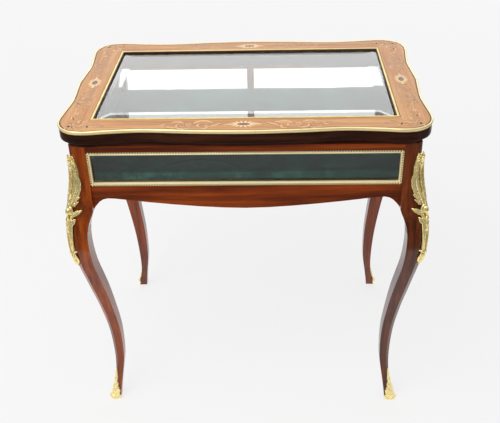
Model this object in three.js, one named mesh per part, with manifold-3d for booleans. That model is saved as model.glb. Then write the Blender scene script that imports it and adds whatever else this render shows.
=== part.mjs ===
// A glass-topped display table: a shallow glazed case on four cabriole legs, under a hinged glazed lid.
// Lengths are in millimetres. +X is the right end, +Y is the back, +Z is up.
// The origin is on the floor, under the middle of the table.
import * as THREE from 'three';
import { mergeVertices } from 'three/addons/utils/BufferGeometryUtils.js';
import Module from 'manifold-3d';

const wasm = await Module();
wasm.setup();

// Driving dimensions of the whole table
const TABLE_HEIGHT = 760;
const LID_WIDTH = 770;
const LID_DEPTH = 510;
const LID_THICKNESS = 42;
const LID_OVERHANG = 21;
const LID_REST_GAP = 0.5;
const FIT = 0.3;
const CUT_OVERRUN = 2;
const ROUND_STEPS = 12;

// Case: rails, aprons and the glazed openings between the legs
const RAIL_THICKNESS = 20;
const TOP_RAIL_HEIGHT = 14.5;
const OPENING_HEIGHT = 81;
const REBATE_DEPTH = 10;
const LIP = 6;
const PANE_THICKNESS = 4;
const BEAD_WIDTH = 8;
const BEAD_PROUD = 2;
const POST_NECK = 4;
const APRON_HEIGHT = 56;
const APRON_RISE = 26;
const APRON_CURVE_STEPS = 24;
const GROOVE_DEPTH = 5;
const BOARD_THICKNESS = 8;
const BOARD_DROP = 2;
const PAD_THICKNESS = 25;
const PAD_CROWN = 2.5;
const PAD_EDGE_RADIUS = 5;
const PAD_SIDE_GAP = 0.6;
const PAD_DRAW_IN = 1.2;
const PAD_CORNER_STEPS = 3;

// Legs
const LEG_BLOCK = 36.5;
const LEG_SWING = 22;
const FOOT_DRIFT_X = -3;
const FOOT_DRIFT_Y = 16;
const CANT_SHARE = 0.3;
const LEG_CURVE_STEPS = 46;

// Lid
const BORDER_SIDE = 67;
const BORDER_FRONT = 59.3;
const BEZEL_WIDTH = 7;
const BEZEL_PROUD = 1.5;
const BEZEL_LEG = 4;
const GLASS_REBATE = 3.5;
const GLASS_LIP = 6;
const GLASS_THICKNESS = 6;
const GLASS_EDGE = 2.6;
const GLASS_BEVEL = 33;
const GLASS_RECESS = 1;
const EDGING_HEIGHT = 8;
const EDGING_DEPTH = 5.3;
const EDGING_PROUD = 1;
const MOULDING_INSET = 15;
const MOULDING_TOP_INSET = 1.5;
const MOULDING_ROUND = 16;
const OUTLINE_STEPS = 96;

// Hinges
const HINGE_SPACING = 32.5;
const HINGE_LENGTH = 50;
const LEAF_THICKNESS = 1.5;
const LEAF_REACH = 17.3;
const KNUCKLE_RADIUS = 3.5;
const KNUCKLE_STANDOFF = 1;
const KNUCKLE_COUNT = 5;
const KNUCKLE_CLEARANCE = 0.6;
const PIN_RADIUS = 1.5;
const PIN_HEAD_RADIUS = 2.6;
const PIN_HEAD_THICKNESS = 1.5;
const SCREW_PITCH = 30;
const SCREW_SETBACK = 9;
const SCREW_LENGTH = 12;
const SCREW_HEAD_RADIUS = 3;
const SCREW_HEAD_DEPTH = 1.4;
const SCREW_RADIUS = 1.5;
const SCREW_TIP = 3;
const SCREW_SLOT_WIDTH = 0.8;
const SCREW_SLOT_DEPTH = 0.6;

// Gilt mounts
const MOUNT_DROP = 19.5;
const MOUNT_LENGTH = 286;
const MOUNT_GAP = 0.4;
const MOUNT_HALF_WIDTH = 16;
const MOUNT_RELIEF = 14;
const MOUNT_EDGE = 2.5;
const MOUNT_SHOULDER_SHARE = 0.8;
const MOUNT_STEPS = 22;
const SABOT_WALL = 2.2;
const SABOT_SOLE = 3;
const SABOT_TIP_HEIGHT = 92;
const SABOT_BACK_HEIGHT = 5;
const TOE_RADIUS = 6.5;
const TOE_LENGTH = 15;
const TOE_REACH = 3;

// Heights and places that follow from them
const WOOD_TOP = TABLE_HEIGHT - BEZEL_PROUD;
const LID_UNDERSIDE = TABLE_HEIGHT - LID_THICKNESS;
const CASE_TOP = LID_UNDERSIDE - LID_REST_GAP;
const OPENING_TOP = CASE_TOP - TOP_RAIL_HEIGHT;
const OPENING_BOTTOM = OPENING_TOP - OPENING_HEIGHT;
const APRON_LOWEST = OPENING_BOTTOM - APRON_HEIGHT;
const BOARD_TOP = OPENING_BOTTOM - BOARD_DROP;
const MOUNT_TOP = CASE_TOP - MOUNT_DROP;
const CASE_HALF_WIDTH = LID_WIDTH / 2 - LID_OVERHANG;
const CASE_HALF_DEPTH = LID_DEPTH / 2 - LID_OVERHANG;
const HINGE_PLACE = CASE_HALF_WIDTH - LEG_BLOCK - HINGE_SPACING - HINGE_LENGTH / 2;
const AXIS_Y = CASE_HALF_DEPTH + KNUCKLE_RADIUS + KNUCKLE_STANDOFF;
const AXIS_Z = LID_UNDERSIDE - LID_REST_GAP / 2;
const BEZEL_HALF_X = LID_WIDTH / 2 - BORDER_SIDE;
const BEZEL_HALF_Y = LID_DEPTH / 2 - BORDER_FRONT;
const GLASS_SEAT = WOOD_TOP - GLASS_THICKNESS - GLASS_RECESS;

// Leg between the top of the case and the foot of the apron, where its inner faces are straight. Columns:
// height as a share of that length, how far the outer corner stands out as a share of the swing.
const LEG_TOP_SHARES = [
  [1, 0],
  [0.622, 0.02],
  [0.36, 0.14],
  [0.16, 0.36],
  [0, 0.61],
];

// Leg from the foot of the apron down to the sole. Columns: height as a share of that length, how far the
// outer corner stands out as a share of the swing, how far the inner corner lies in as a share of the block.
const LEG_CURVE_SHARES = [
  [0.973, 0.75, 0.83],
  [0.947, 0.86, 0.68],
  [0.911, 0.95, 0.53],
  [0.867, 0.99, 0.48],
  [0.813, 0.955, 0.49],
  [0.742, 0.75, 0.58],
  [0.673, 0.41, 0.76],
  [0.602, 0.07, 0.94],
  [0.531, -0.3, 1.08],
  [0.459, -0.61, 1.2],
  [0.39, -0.86, 1.3],
  [0.327, -1, 1.33],
  [0.265, -1.07, 1.315],
  [0.212, -1.08, 1.27],
  [0.159, -1.02, 1.15],
  [0.107, -0.89, 1.01],
  [0.062, -0.66, 0.9],
  [0.027, -0.45, 0.82],
  [0, -0.32, 0.77],
];

// One quarter of the lid's outline, from the middle of the front to the middle of the right side. Columns:
// share of the half width, share of the half depth.
const OUTLINE_SHARES = [
  [0, 0.994],
  [0.27, 0.981],
  [0.54, 0.953],
  [0.715, 0.972],
  [0.84, 0.993],
  [0.914, 0.972],
  [0.966, 0.912],
  [0.993, 0.833],
  [1, 0.753],
  [0.991, 0.588],
  [0.98, 0.392],
  [0.987, 0.19],
  [0.995, 0],
];

// Lower edge of an apron, from its middle to its end. Columns: share of the half length, share of the rise.
const APRON_EDGE_SHARES = [
  [0, 0],
  [0.3, 0.18],
  [0.62, 0.59],
  [0.79, 0.87],
  [0.9, 1],
  [0.955, 0.7],
  [1, 0],
];

// Section of the lid moulding. Columns: share of its inset, share of its rounded height.
const MOULDING_SHARES = [
  [1, 0],
  [0.67, 0.08],
  [0.33, 0.29],
  [0.1, 0.6],
  [0, 1],
];

// Section of the lid edging, round its back, top and rounded face. Columns: share of its depth, share of its
// height, share of its stand above the wood.
const EDGING_SECTION_SHARES = [
  [1, 0, 0],
  [1, 1, 0],
  [0.55, 1, 1],
  [0.18, 1, 0],
  [0, 0.7, 0],
  [0, 0.3, 0],
  [0.12, 0.05, 0],
  [0.2, 0, 0],
];

// Lengths of the lid edging, each with its first joint as a share of the way round the lid. The way round
// starts at the middle of the front and goes by the right.
const EDGING_JOINT_SHARES = [
  ['front_right', 0.005],
  ['right', 0.083],
  ['back_right', 0.417],
  ['back_left', 0.5],
  ['left', 0.583],
  ['front_left', 0.917],
];

// Section of a bead. Columns: share of its width, share of its stand above the wood.
const BEAD_ROUND_SHARES = [
  [0, 0],
  [0.2, 0.75],
  [0.5, 1],
  [0.8, 0.75],
  [1, 0],
];

// Rounded upper edge of the velvet pad. Columns: share of its radius inwards, share of its radius downwards.
const PAD_EDGE_SHARES = [
  [0, 1],
  [0.3, 0.3],
  [1, 0],
];

// Places of the rings on the crown of the pad, as shares of the way to its middle
const PAD_CROWN_SHARES = [0.2, 0.5, 0.8];

// Knee mount from top to bottom. Columns: share of its length, share of the half width, share of the relief.
const MOUNT_SHARES = [
  [0, 0.25, 0.45],
  [0.06, 0.55, 0.8],
  [0.16, 0.75, 0.9],
  [0.25, 0.72, 0.8],
  [0.32, 0.95, 0.85],
  [0.4, 1, 0.9],
  [0.47, 0.7, 0.85],
  [0.52, 0.95, 1],
  [0.58, 0.6, 0.95],
  [0.65, 0.5, 0.85],
  [0.8, 0.38, 0.75],
  [0.92, 0.4, 0.7],
  [1, 0.2, 0.35],
];

const rosewood = () => new THREE.MeshStandardMaterial({ color: 0x5a2a16, roughness: 0.3, metalness: 0 });
const darkRosewood = () => new THREE.MeshStandardMaterial({ color: 0x3a1c10, roughness: 0.3, metalness: 0 });
const marquetry = () => new THREE.MeshStandardMaterial({ color: 0xcf9a6c, roughness: 0.25, metalness: 0 });
const giltBrass = () => new THREE.MeshStandardMaterial({ color: 0xc9a75c, roughness: 0.3, metalness: 1 });
const hingeBrass = () => new THREE.MeshStandardMaterial({ color: 0xb08d4a, roughness: 0.4, metalness: 1 });
const clearGlass = () => new THREE.MeshStandardMaterial({ color: 0xdfe8e6, roughness: 0.05, metalness: 0 });
const greenVelvet = () => new THREE.MeshStandardMaterial({ color: 0x2d4b41, roughness: 0.95, metalness: 0 });

// Signed volume of a triangle mesh, positive when its faces point out
function signedVolume(points, index) {
  const a = new THREE.Vector3();
  const b = new THREE.Vector3();
  const c = new THREE.Vector3();
  let total = 0;
  for (let i = 0; i < index.length; i += 3) {
    a.fromArray(points, index[i] * 3);
    b.fromArray(points, index[i + 1] * 3);
    c.fromArray(points, index[i + 2] * 3);
    total += a.dot(b.cross(c));
  }
  return total / 6;
}

// The same shape with shared vertices merged, empty triangles dropped and its faces pointing out
function closed(geometry) {
  const bare = geometry.clone();
  bare.deleteAttribute('normal');
  bare.deleteAttribute('uv');
  const merged = mergeVertices(bare);
  const index = [];
  const old = merged.index.array;
  for (let i = 0; i < old.length; i += 3) {
    const corners = [old[i], old[i + 1], old[i + 2]];
    if (new Set(corners).size === 3) {
      index.push(...corners);
    }
  }
  const points = merged.attributes.position.array;
  if (signedVolume(points, index) < 0) {
    index.reverse();
  }
  merged.setIndex(index);
  return merged;
}

function toSolid(geometry) {
  const merged = closed(geometry);
  const vertProperties = new Float32Array(merged.attributes.position.array);
  const triVerts = new Uint32Array(merged.index.array);
  return new wasm.Manifold(new wasm.Mesh({ numProp: 3, vertProperties, triVerts }));
}

function fromSolid(solid) {
  const mesh = solid.getMesh();
  const geometry = new THREE.BufferGeometry();
  geometry.setAttribute('position', new THREE.BufferAttribute(new Float32Array(mesh.vertProperties), 3));
  geometry.setIndex(Array.from(mesh.triVerts));
  return geometry;
}

// One shape with others added to it and others cut from it
function shaped(base, added, removed) {
  let solid = toSolid(base);
  for (const piece of added) {
    solid = solid.add(toSolid(piece));
  }
  for (const piece of removed) {
    solid = solid.subtract(toSolid(piece));
  }
  return fromSolid(solid);
}

function named(name, geometry, material) {
  const solid = closed(geometry);
  solid.computeVertexNormals();
  const mesh = new THREE.Mesh(solid, material);
  mesh.name = name;
  return mesh;
}

// A copy of a shape with every point moved by a rule
function remapped(geometry, rule) {
  const copy = geometry.clone();
  const position = copy.attributes.position;
  const point = new THREE.Vector3();
  for (let i = 0; i < position.count; i += 1) {
    point.fromBufferAttribute(position, i);
    rule(point);
    position.setXYZ(i, point.x, point.y, point.z);
  }
  return copy;
}

// Mirrored copy, with signs for X and Y
function mirrored(geometry, signX, signY) {
  return remapped(geometry, (p) => p.set(p.x * signX, p.y * signY, p.z));
}

// Exact quarter turns about the upright axis
function quarterTurned(geometry, turns) {
  return remapped(geometry, (p) => {
    for (let i = 0; i < turns; i += 1) {
      p.set(-p.y, p.x, p.z);
    }
  });
}

// A box between exact corners
function block(x0, x1, y0, y1, z0, z1) {
  return remapped(new THREE.BoxGeometry(1, 1, 1), (p) => {
    p.set(p.x < 0 ? x0 : x1, p.y < 0 ? y0 : y1, p.z < 0 ? z0 : z1);
  });
}

// Signs of the four corners of a rectangle, in turn
const CORNER_SIGNS = [[-1, -1], [1, -1], [1, 1], [-1, 1]];

// A skin through rings of equal count. It is capped at both ends, or joined back to its first ring.
function skinned(rings, joined = false) {
  const count = rings[0].length;
  const points = rings.flat();
  const index = [];
  const spans = joined ? rings.length : rings.length - 1;
  for (let r = 0; r < spans; r += 1) {
    const near = r * count;
    const far = ((r + 1) % rings.length) * count;
    for (let i = 0; i < count; i += 1) {
      const j = (i + 1) % count;
      index.push(near + i, near + j, far + j);
      index.push(near + i, far + j, far + i);
    }
  }
  if (!joined) {
    const last = points.length - count;
    for (const [a, b, c] of capTriangles(rings[0])) {
      index.push(c, b, a);
    }
    for (const [a, b, c] of capTriangles(rings[rings.length - 1])) {
      index.push(last + a, last + b, last + c);
    }
  }
  const geometry = new THREE.BufferGeometry();
  geometry.setFromPoints(points);
  geometry.setIndex(index);
  return geometry;
}

// Triangles that fill a flat ring, in the ring's own order
function capTriangles(ring) {
  const normal = new THREE.Vector3();
  ring.forEach((p, i) => {
    const q = ring[(i + 1) % ring.length];
    normal.add(new THREE.Vector3().crossVectors(p, q));
  });
  normal.normalize();
  const across = new THREE.Vector3().subVectors(ring[1], ring[0]).normalize();
  const up = new THREE.Vector3().crossVectors(normal, across);
  const flat = ring.map((p) => new THREE.Vector2(p.dot(across), p.dot(up)));
  return THREE.ShapeUtils.triangulateShape(flat, []);
}

// Value of a table at a place, straight between its rows
function tableAt(rows, place, column) {
  const next = rows.findIndex((row) => row[0] >= place);
  if (next <= 0) {
    return rows[next === 0 ? 0 : rows.length - 1][column];
  }
  const [before, after] = [rows[next - 1], rows[next]];
  const share = (place - before[0]) / (after[0] - before[0]);
  return before[column] + (after[column] - before[column]) * share;
}

// Leg sections at the steps of its curve: height, outer corner and inner corner in the +X +Y quarter
function legSections() {
  const upper = LEG_TOP_SHARES.map(([h, out]) => new THREE.Vector3(
    out * LEG_SWING, LEG_BLOCK, APRON_LOWEST + h * (CASE_TOP - APRON_LOWEST)));
  const lower = LEG_CURVE_SHARES.map(([h, out, inner]) => new THREE.Vector3(
    out * LEG_SWING, inner * LEG_BLOCK, SABOT_SOLE + h * (APRON_LOWEST - SABOT_SOLE)));
  const curve = new THREE.CatmullRomCurve3([...upper, ...lower], false, 'centripetal');
  return curve.getPoints(LEG_CURVE_STEPS).map((row) => {
    const share = Math.max(0, 1 - row.z / APRON_LOWEST);
    const [driftX, driftY] = [FOOT_DRIFT_X * share, FOOT_DRIFT_Y * share];
    const inner = row.z >= APRON_LOWEST - FIT ? LEG_BLOCK : row.y;
    return {
      z: row.z,
      outer: [CASE_HALF_WIDTH + row.x + driftX, CASE_HALF_DEPTH + row.x + driftY],
      inner: [CASE_HALF_WIDTH - inner + driftX, CASE_HALF_DEPTH - inner + driftY],
      cant: CANT_SHARE * (row.x + inner),
    };
  });
}

// The leg's section at any height, straight between two of its steps
function sectionAt(sections, z) {
  const next = Math.max(1, sections.findIndex((section) => section.z <= z));
  const [upper, lower] = [sections[next - 1], sections[next]];
  const share = (z - upper.z) / (lower.z - upper.z);
  const between = (a, b) => THREE.MathUtils.lerp(a, b, share);
  return {
    z,
    outer: upper.outer.map((value, i) => between(value, lower.outer[i])),
    inner: upper.inner.map((value, i) => between(value, lower.inner[i])),
    cant: between(upper.cant, lower.cant),
  };
}

// One leg section as a ring, a square with its outer corner canted, grown by a margin
function sectionRing({ z, outer, inner, cant }, grow = 0) {
  const [x1, y1] = [outer[0] + grow, outer[1] + grow];
  const [x0, y0] = [inner[0] - grow, inner[1] - grow];
  const cut = cant + grow * (2 - Math.SQRT2);
  return [[x0, y0], [x1, y0], [x1, y1 - cut], [x1 - cut, y1], [x0, y1]].map(
    ([x, y]) => new THREE.Vector3(x, y, z));
}

// A leg, with the two strips that stop the panes beside it
function legGeometry(sections) {
  const leg = skinned(sections.map((section) => sectionRing(section)));
  const faceX = CASE_HALF_WIDTH - LEG_BLOCK;
  const faceY = CASE_HALF_DEPTH - LEG_BLOCK;
  const stripBottom = OPENING_BOTTOM + LIP;
  const stripTop = OPENING_TOP - LIP;
  const frontStrip = block(faceX - LIP, faceX + LIP, CASE_HALF_DEPTH - RAIL_THICKNESS,
    CASE_HALF_DEPTH - REBATE_DEPTH, stripBottom, stripTop);
  const sideStrip = block(CASE_HALF_WIDTH - RAIL_THICKNESS, CASE_HALF_WIDTH - REBATE_DEPTH,
    faceY - LIP, faceY + LIP, stripBottom, stripTop);
  return shaped(leg, [frontStrip, sideStrip], []);
}

// Knee mount: a relief that lies over the canted corner and wraps a little way round both faces. Its back is
// cut to the leg's own shape.
function kneeMountGeometry(sections) {
  const rings = [];
  for (let i = 0; i <= MOUNT_STEPS; i += 1) {
    const place = i / MOUNT_STEPS;
    const { z, outer, cant } = sectionAt(sections, MOUNT_TOP - place * MOUNT_LENGTH);
    const half = MOUNT_HALF_WIDTH * tableAt(MOUNT_SHARES, place, 1);
    const relief = MOUNT_RELIEF * tableAt(MOUNT_SHARES, place, 2);
    const side = -Math.max(0, half - cant / Math.SQRT2);
    const shoulder = Math.max(relief * MOUNT_SHOULDER_SHARE, side + MOUNT_EDGE);
    const outline = [
      [-half, side - MOUNT_EDGE],
      [half, side - MOUNT_EDGE],
      [half, side + MOUNT_EDGE],
      [half / 2, shoulder],
      [0, relief],
      [-half / 2, shoulder],
      [-half, side + MOUNT_EDGE],
    ];
    const [x, y] = [outer[0] - cant / 2, outer[1] - cant / 2];
    rings.push(outline.map(([s, n]) => new THREE.Vector3(
      x + (n - s) / Math.SQRT2, y + (n + s) / Math.SQRT2, z)));
  }
  const leg = skinned(sections.map((section) => sectionRing(section, MOUNT_GAP)));
  return shaped(skinned(rings), [], [leg]);
}

// Sabot: a shoe round the foot, tall at the outer corner and low behind, with a scroll at the toe
function sabotGeometry(sections) {
  const low = sections.filter(({ z }) => z < SABOT_TIP_HEIGHT + LEG_BLOCK);
  const foot = low[low.length - 1];
  const shell = skinned([...low, { ...foot, z: 0 }].map((section) => sectionRing(section, SABOT_WALL)));
  const hollow = skinned(low.map((section) => sectionRing(section, FIT)));
  const tip = sectionAt(sections, SABOT_TIP_HEIGHT);
  const [innerX, innerY] = foot.inner;
  const run = tip.outer[0] + tip.outer[1] - tip.cant - innerX - innerY;
  const slope = (SABOT_TIP_HEIGHT - SABOT_BACK_HEIGHT) / run;
  const heightAt = (x, y) => SABOT_BACK_HEIGHT + slope * (x - innerX + y - innerY);
  const corners = CORNER_SIGNS.map(
    ([i, j]) => [innerX + i * SABOT_TIP_HEIGHT, innerY + j * SABOT_TIP_HEIGHT]);
  const top = Math.max(...corners.map(([x, y]) => heightAt(x, y))) + CUT_OVERRUN;
  const above = skinned([
    corners.map(([x, y]) => new THREE.Vector3(x, y, heightAt(x, y))),
    corners.map(([x, y]) => new THREE.Vector3(x, y, top)),
  ]);
  const toe = new THREE.CylinderGeometry(TOE_RADIUS, TOE_RADIUS, TOE_LENGTH, ROUND_STEPS);
  toe.rotateZ(Math.PI / 2);
  toe.rotateX(Math.PI / ROUND_STEPS);
  toe.rotateZ(-Math.PI / 4);
  const step = TOE_REACH / Math.SQRT2 - foot.cant / 2;
  toe.computeBoundingBox();
  toe.translate(foot.outer[0] + step, foot.outer[1] + step, -toe.boundingBox.min.z);
  return shaped(shell, [toe], [hollow, above]);
}

// The four sides of the case. Each is built as the front one and turned into place.
const SIDES = [
  { name: 'front', turns: 0, half: CASE_HALF_WIDTH, reach: CASE_HALF_DEPTH },
  { name: 'right', turns: 1, half: CASE_HALF_DEPTH, reach: CASE_HALF_WIDTH },
  { name: 'back', turns: 2, half: CASE_HALF_WIDTH, reach: CASE_HALF_DEPTH },
  { name: 'left', turns: 3, half: CASE_HALF_DEPTH, reach: CASE_HALF_WIDTH },
];

// A box on one side of the case, with its depth measured in from the outer face
function sideBlock(side, u0, u1, depth0, depth1, z0, z1) {
  return block(u0, u1, depth0 - side.reach, depth1 - side.reach, z0, z1);
}

function hingeCentres() {
  return [-HINGE_PLACE, HINGE_PLACE];
}

// A top rail with the pane's rebate along its lower edge
function topRailGeometry(side) {
  const end = side.half - LEG_BLOCK;
  const past = end + CUT_OVERRUN;
  const rail = sideBlock(side, -end, end, 0, RAIL_THICKNESS, OPENING_TOP - LIP, CASE_TOP);
  const rebate = sideBlock(side, -past, past, -CUT_OVERRUN, REBATE_DEPTH,
    OPENING_TOP - LIP - CUT_OVERRUN, OPENING_TOP);
  const turned = quarterTurned(shaped(rail, [], [rebate]), side.turns);
  if (side.name !== 'back') {
    return turned;
  }
  return shaped(turned, [], hingeCentres().flatMap((x) => [caseLeafRecess(x), ...screwSet(x, FIT, 1)]));
}

// An apron: its curved lower edge, the pane's rebate on top and the groove for the base board inside
function apronGeometry(side) {
  const end = side.half - LEG_BLOCK;
  const top = OPENING_BOTTOM + LIP;
  const half = APRON_EDGE_SHARES.map(
    ([u, rise]) => new THREE.Vector2(u * end, APRON_LOWEST + rise * APRON_RISE));
  const left = half.slice(1).reverse().map((p) => new THREE.Vector2(-p.x, p.y));
  const edge = new THREE.SplineCurve([...left, ...half]).getPoints(APRON_CURVE_STEPS);
  const outline = new THREE.Shape([...edge, new THREE.Vector2(end, top), new THREE.Vector2(-end, top)]);
  const plate = new THREE.ExtrudeGeometry(outline, { depth: RAIL_THICKNESS, bevelEnabled: false });
  const apron = remapped(plate, (p) => p.set(p.x, p.z - side.reach, p.y));
  const past = end + CUT_OVERRUN;
  const rebate = sideBlock(side, -past, past, -CUT_OVERRUN, REBATE_DEPTH, OPENING_BOTTOM, top + CUT_OVERRUN);
  const groove = sideBlock(side, -past, past, RAIL_THICKNESS - GROOVE_DEPTH, RAIL_THICKNESS + CUT_OVERRUN,
    BOARD_TOP - BOARD_THICKNESS, BOARD_TOP + FIT);
  return quarterTurned(shaped(apron, [], [rebate, groove]), side.turns);
}

// The glazed openings: their side and the two ends of each, along the side
function openings() {
  const list = [];
  for (const side of SIDES) {
    const end = side.half - LEG_BLOCK - FIT;
    if (side.name === 'back') {
      const post = POST_NECK / 2 + FIT;
      list.push({ name: 'back_left', side, u0: post, u1: end });
      list.push({ name: 'back_right', side, u0: -end, u1: -post });
    } else {
      list.push({ name: side.name, side, u0: -end, u1: end });
    }
  }
  return list;
}

function paneGeometry({ side, u0, u1 }) {
  const pane = sideBlock(side, u0, u1, REBATE_DEPTH - PANE_THICKNESS, REBATE_DEPTH, OPENING_BOTTOM,
    OPENING_TOP - FIT);
  return quarterTurned(pane, side.turns);
}

// A rectangular frame: the section's points lie in from its outer edge, at given levels
function frameRings(section, x0, x1, y0, y1) {
  return CORNER_SIGNS.map(([i, j]) => section.map(([inset, level]) => new THREE.Vector3(
    (i < 0 ? x0 : x1) - i * inset, (j < 0 ? y0 : y1) - j * inset, level)));
}

// The beaded brass frame that holds a pane in its rebate
function beadFrameGeometry({ side, u0, u1 }) {
  const back = PANE_THICKNESS - REBATE_DEPTH;
  const round = BEAD_ROUND_SHARES.map(([across, stand]) => [across * BEAD_WIDTH, stand * BEAD_PROUD]);
  const section = [...round, [BEAD_WIDTH, back], [0, back]];
  const flat = skinned(frameRings(section, u0, u1, OPENING_BOTTOM, OPENING_TOP - FIT), true);
  return quarterTurned(remapped(flat, (p) => p.set(p.x, -p.z - side.reach, p.y)), side.turns);
}

// The post between the two back panes: a neck between the panes and a wider stop behind them
function backPostGeometry() {
  const side = SIDES[2];
  const neck = POST_NECK / 2;
  const stop = neck + LIP;
  const front = sideBlock(side, -neck, neck, 0, RAIL_THICKNESS, OPENING_BOTTOM + LIP, OPENING_TOP - LIP);
  const ends = sideBlock(side, -neck, neck, 0, REBATE_DEPTH, OPENING_BOTTOM, OPENING_TOP);
  const stops = sideBlock(side, -stop, stop, REBATE_DEPTH, RAIL_THICKNESS, OPENING_BOTTOM + LIP,
    OPENING_TOP - LIP);
  return quarterTurned(shaped(front, [ends, stops], []), side.turns);
}

// The base board, notched round the legs, with its edges in the aprons' grooves
function baseBoardGeometry() {
  const reach = GROOVE_DEPTH - FIT - RAIL_THICKNESS;
  const [x1, y1] = [CASE_HALF_WIDTH + reach, CASE_HALF_DEPTH + reach];
  const [x0, y0] = [CASE_HALF_WIDTH - LEG_BLOCK - FIT, CASE_HALF_DEPTH - LEG_BLOCK - FIT];
  const bottom = BOARD_TOP - BOARD_THICKNESS;
  const deepPart = block(-x0, x0, -y1, y1, bottom, BOARD_TOP);
  const widePart = block(-x1, x1, -y0, y0, bottom, BOARD_TOP);
  return shaped(deepPart, [widePart], []);
}

// Outline of the pad: rounded outer corners, and a notch round each leg
function padOutline() {
  const wall = RAIL_THICKNESS + PAD_SIDE_GAP;
  const notch = LEG_BLOCK + PAD_SIDE_GAP;
  const [x1, y1] = [CASE_HALF_WIDTH - wall, CASE_HALF_DEPTH - wall];
  const [x0, y0] = [CASE_HALF_WIDTH - notch, CASE_HALF_DEPTH - notch];
  const radius = PAD_EDGE_RADIUS;
  const shape = new THREE.Shape();
  shape.moveTo(0, -y1);
  shape.lineTo(x0 - radius, -y1);
  shape.quadraticCurveTo(x0, -y1, x0, -y1 + radius);
  shape.lineTo(x0, -y0);
  shape.lineTo(x1 - radius, -y0);
  shape.quadraticCurveTo(x1, -y0, x1, -y0 + radius);
  shape.lineTo(x1, 0);
  const quarter = shape.getPoints(PAD_CORNER_STEPS);
  const upper = quarter.slice(0, -1).reverse().map((p) => new THREE.Vector2(p.x, -p.y));
  const half = [...quarter, ...upper];
  const other = half.slice(1, -1).reverse().map((p) => new THREE.Vector2(-p.x, p.y));
  return [...half, ...other];
}

// The padded velvet board: flat below, drawn in at its sides, rounded at its edge and crowned on top
function padGeometry() {
  const outline = padOutline();
  const bottom = BOARD_TOP + FIT;
  const edge = bottom + PAD_THICKNESS;
  const ring = (insetX, insetY, z) => outline.map((p) => new THREE.Vector3(
    p.x * (1 - insetX / CASE_HALF_WIDTH), p.y * (1 - insetY / CASE_HALF_DEPTH), z));
  const rings = [
    ring(PAD_DRAW_IN, PAD_DRAW_IN, bottom),
    ring(0, 0, bottom + PAD_DRAW_IN),
    ring(PAD_DRAW_IN, PAD_DRAW_IN, bottom + PAD_THICKNESS / 2),
  ];
  for (const [inwards, down] of PAD_EDGE_SHARES) {
    rings.push(ring(inwards * PAD_EDGE_RADIUS, inwards * PAD_EDGE_RADIUS, edge - down * PAD_EDGE_RADIUS));
  }
  for (const share of PAD_CROWN_SHARES) {
    const rise = 1 - (1 - share) ** 2;
    rings.push(ring(share * CASE_HALF_WIDTH, share * CASE_HALF_DEPTH, edge + PAD_CROWN * rise));
  }
  return skinned(rings);
}

// Points on the lid's outline with their outward directions, from the middle of the front, round by the right
function lidOutline() {
  const [halfX, halfY] = [LID_WIDTH / 2, LID_DEPTH / 2];
  const quarter = OUTLINE_SHARES.map(([x, y]) => new THREE.Vector3(x * halfX, -y * halfY, 0));
  const behind = quarter.slice(0, -1).reverse().map((p) => new THREE.Vector3(p.x, -p.y, 0));
  const right = [...quarter, ...behind];
  const left = right.slice(1, -1).reverse().map((p) => new THREE.Vector3(-p.x, p.y, 0));
  const curve = new THREE.CatmullRomCurve3([...right, ...left], true, 'centripetal');
  const list = [];
  for (let i = 0; i < OUTLINE_STEPS; i += 1) {
    const point = curve.getPoint(i / OUTLINE_STEPS);
    const tangent = curve.getTangent(i / OUTLINE_STEPS);
    list.push({ point, out: new THREE.Vector3(tangent.y, -tangent.x, 0) });
  }
  return list;
}

function outlineRing(outline, inset, z) {
  return outline.map(({ point, out }) => new THREE.Vector3(
    point.x - out.x * inset, point.y - out.y * inset, z));
}

// The whole lid frame before it is parted at its mitres
function lidFrameGeometry(outline) {
  const step = WOOD_TOP - EDGING_HEIGHT;
  const inset = MOULDING_INSET - MOULDING_TOP_INSET;
  const rings = MOULDING_SHARES.map(([across, rise]) => outlineRing(outline,
    MOULDING_TOP_INSET + across * inset, LID_UNDERSIDE + rise * MOULDING_ROUND));
  rings.push(outlineRing(outline, MOULDING_TOP_INSET, step));
  rings.push(outlineRing(outline, EDGING_DEPTH + FIT, step));
  rings.push(outlineRing(outline, EDGING_DEPTH + FIT, WOOD_TOP));
  const seatX = BEZEL_HALF_X - GLASS_REBATE;
  const seatY = BEZEL_HALF_Y - GLASS_REBATE;
  const [sightX, sightY] = [seatX - GLASS_LIP, seatY - GLASS_LIP];
  const seat = block(-seatX, seatX, -seatY, seatY, GLASS_SEAT, WOOD_TOP + CUT_OVERRUN);
  const sight = block(-sightX, sightX, -sightY, sightY, LID_UNDERSIDE - CUT_OVERRUN,
    GLASS_SEAT + CUT_OVERRUN);
  const hinges = hingeCentres().flatMap(
    (x) => [lidLeafRecess(x), knuckleNotch(x), ...screwSet(x, FIT, -1)]);
  return shaped(skinned(rings), [], [seat, sight, ...hinges]);
}

// The wedge of the lid frame that belongs to one rail, between two mitres
function mitreWedge(turns) {
  const sightX = BEZEL_HALF_X - GLASS_REBATE - GLASS_LIP;
  const sightY = BEZEL_HALF_Y - GLASS_REBATE - GLASS_LIP;
  const [along, inward] = turns % 2 === 0 ? [sightX, sightY] : [sightY, sightX];
  const end = along - FIT / Math.SQRT2;
  const reach = BORDER_SIDE + BORDER_FRONT;
  const corners = [
    [CUT_OVERRUN - end, CUT_OVERRUN - inward],
    [end - CUT_OVERRUN, CUT_OVERRUN - inward],
    [end + reach, -inward - reach],
    [-end - reach, -inward - reach],
  ];
  const levels = [LID_UNDERSIDE - CUT_OVERRUN, WOOD_TOP + CUT_OVERRUN];
  const prism = skinned(levels.map((z) => corners.map(([x, y]) => new THREE.Vector3(x, y, z))));
  return quarterTurned(prism, turns);
}

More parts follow.
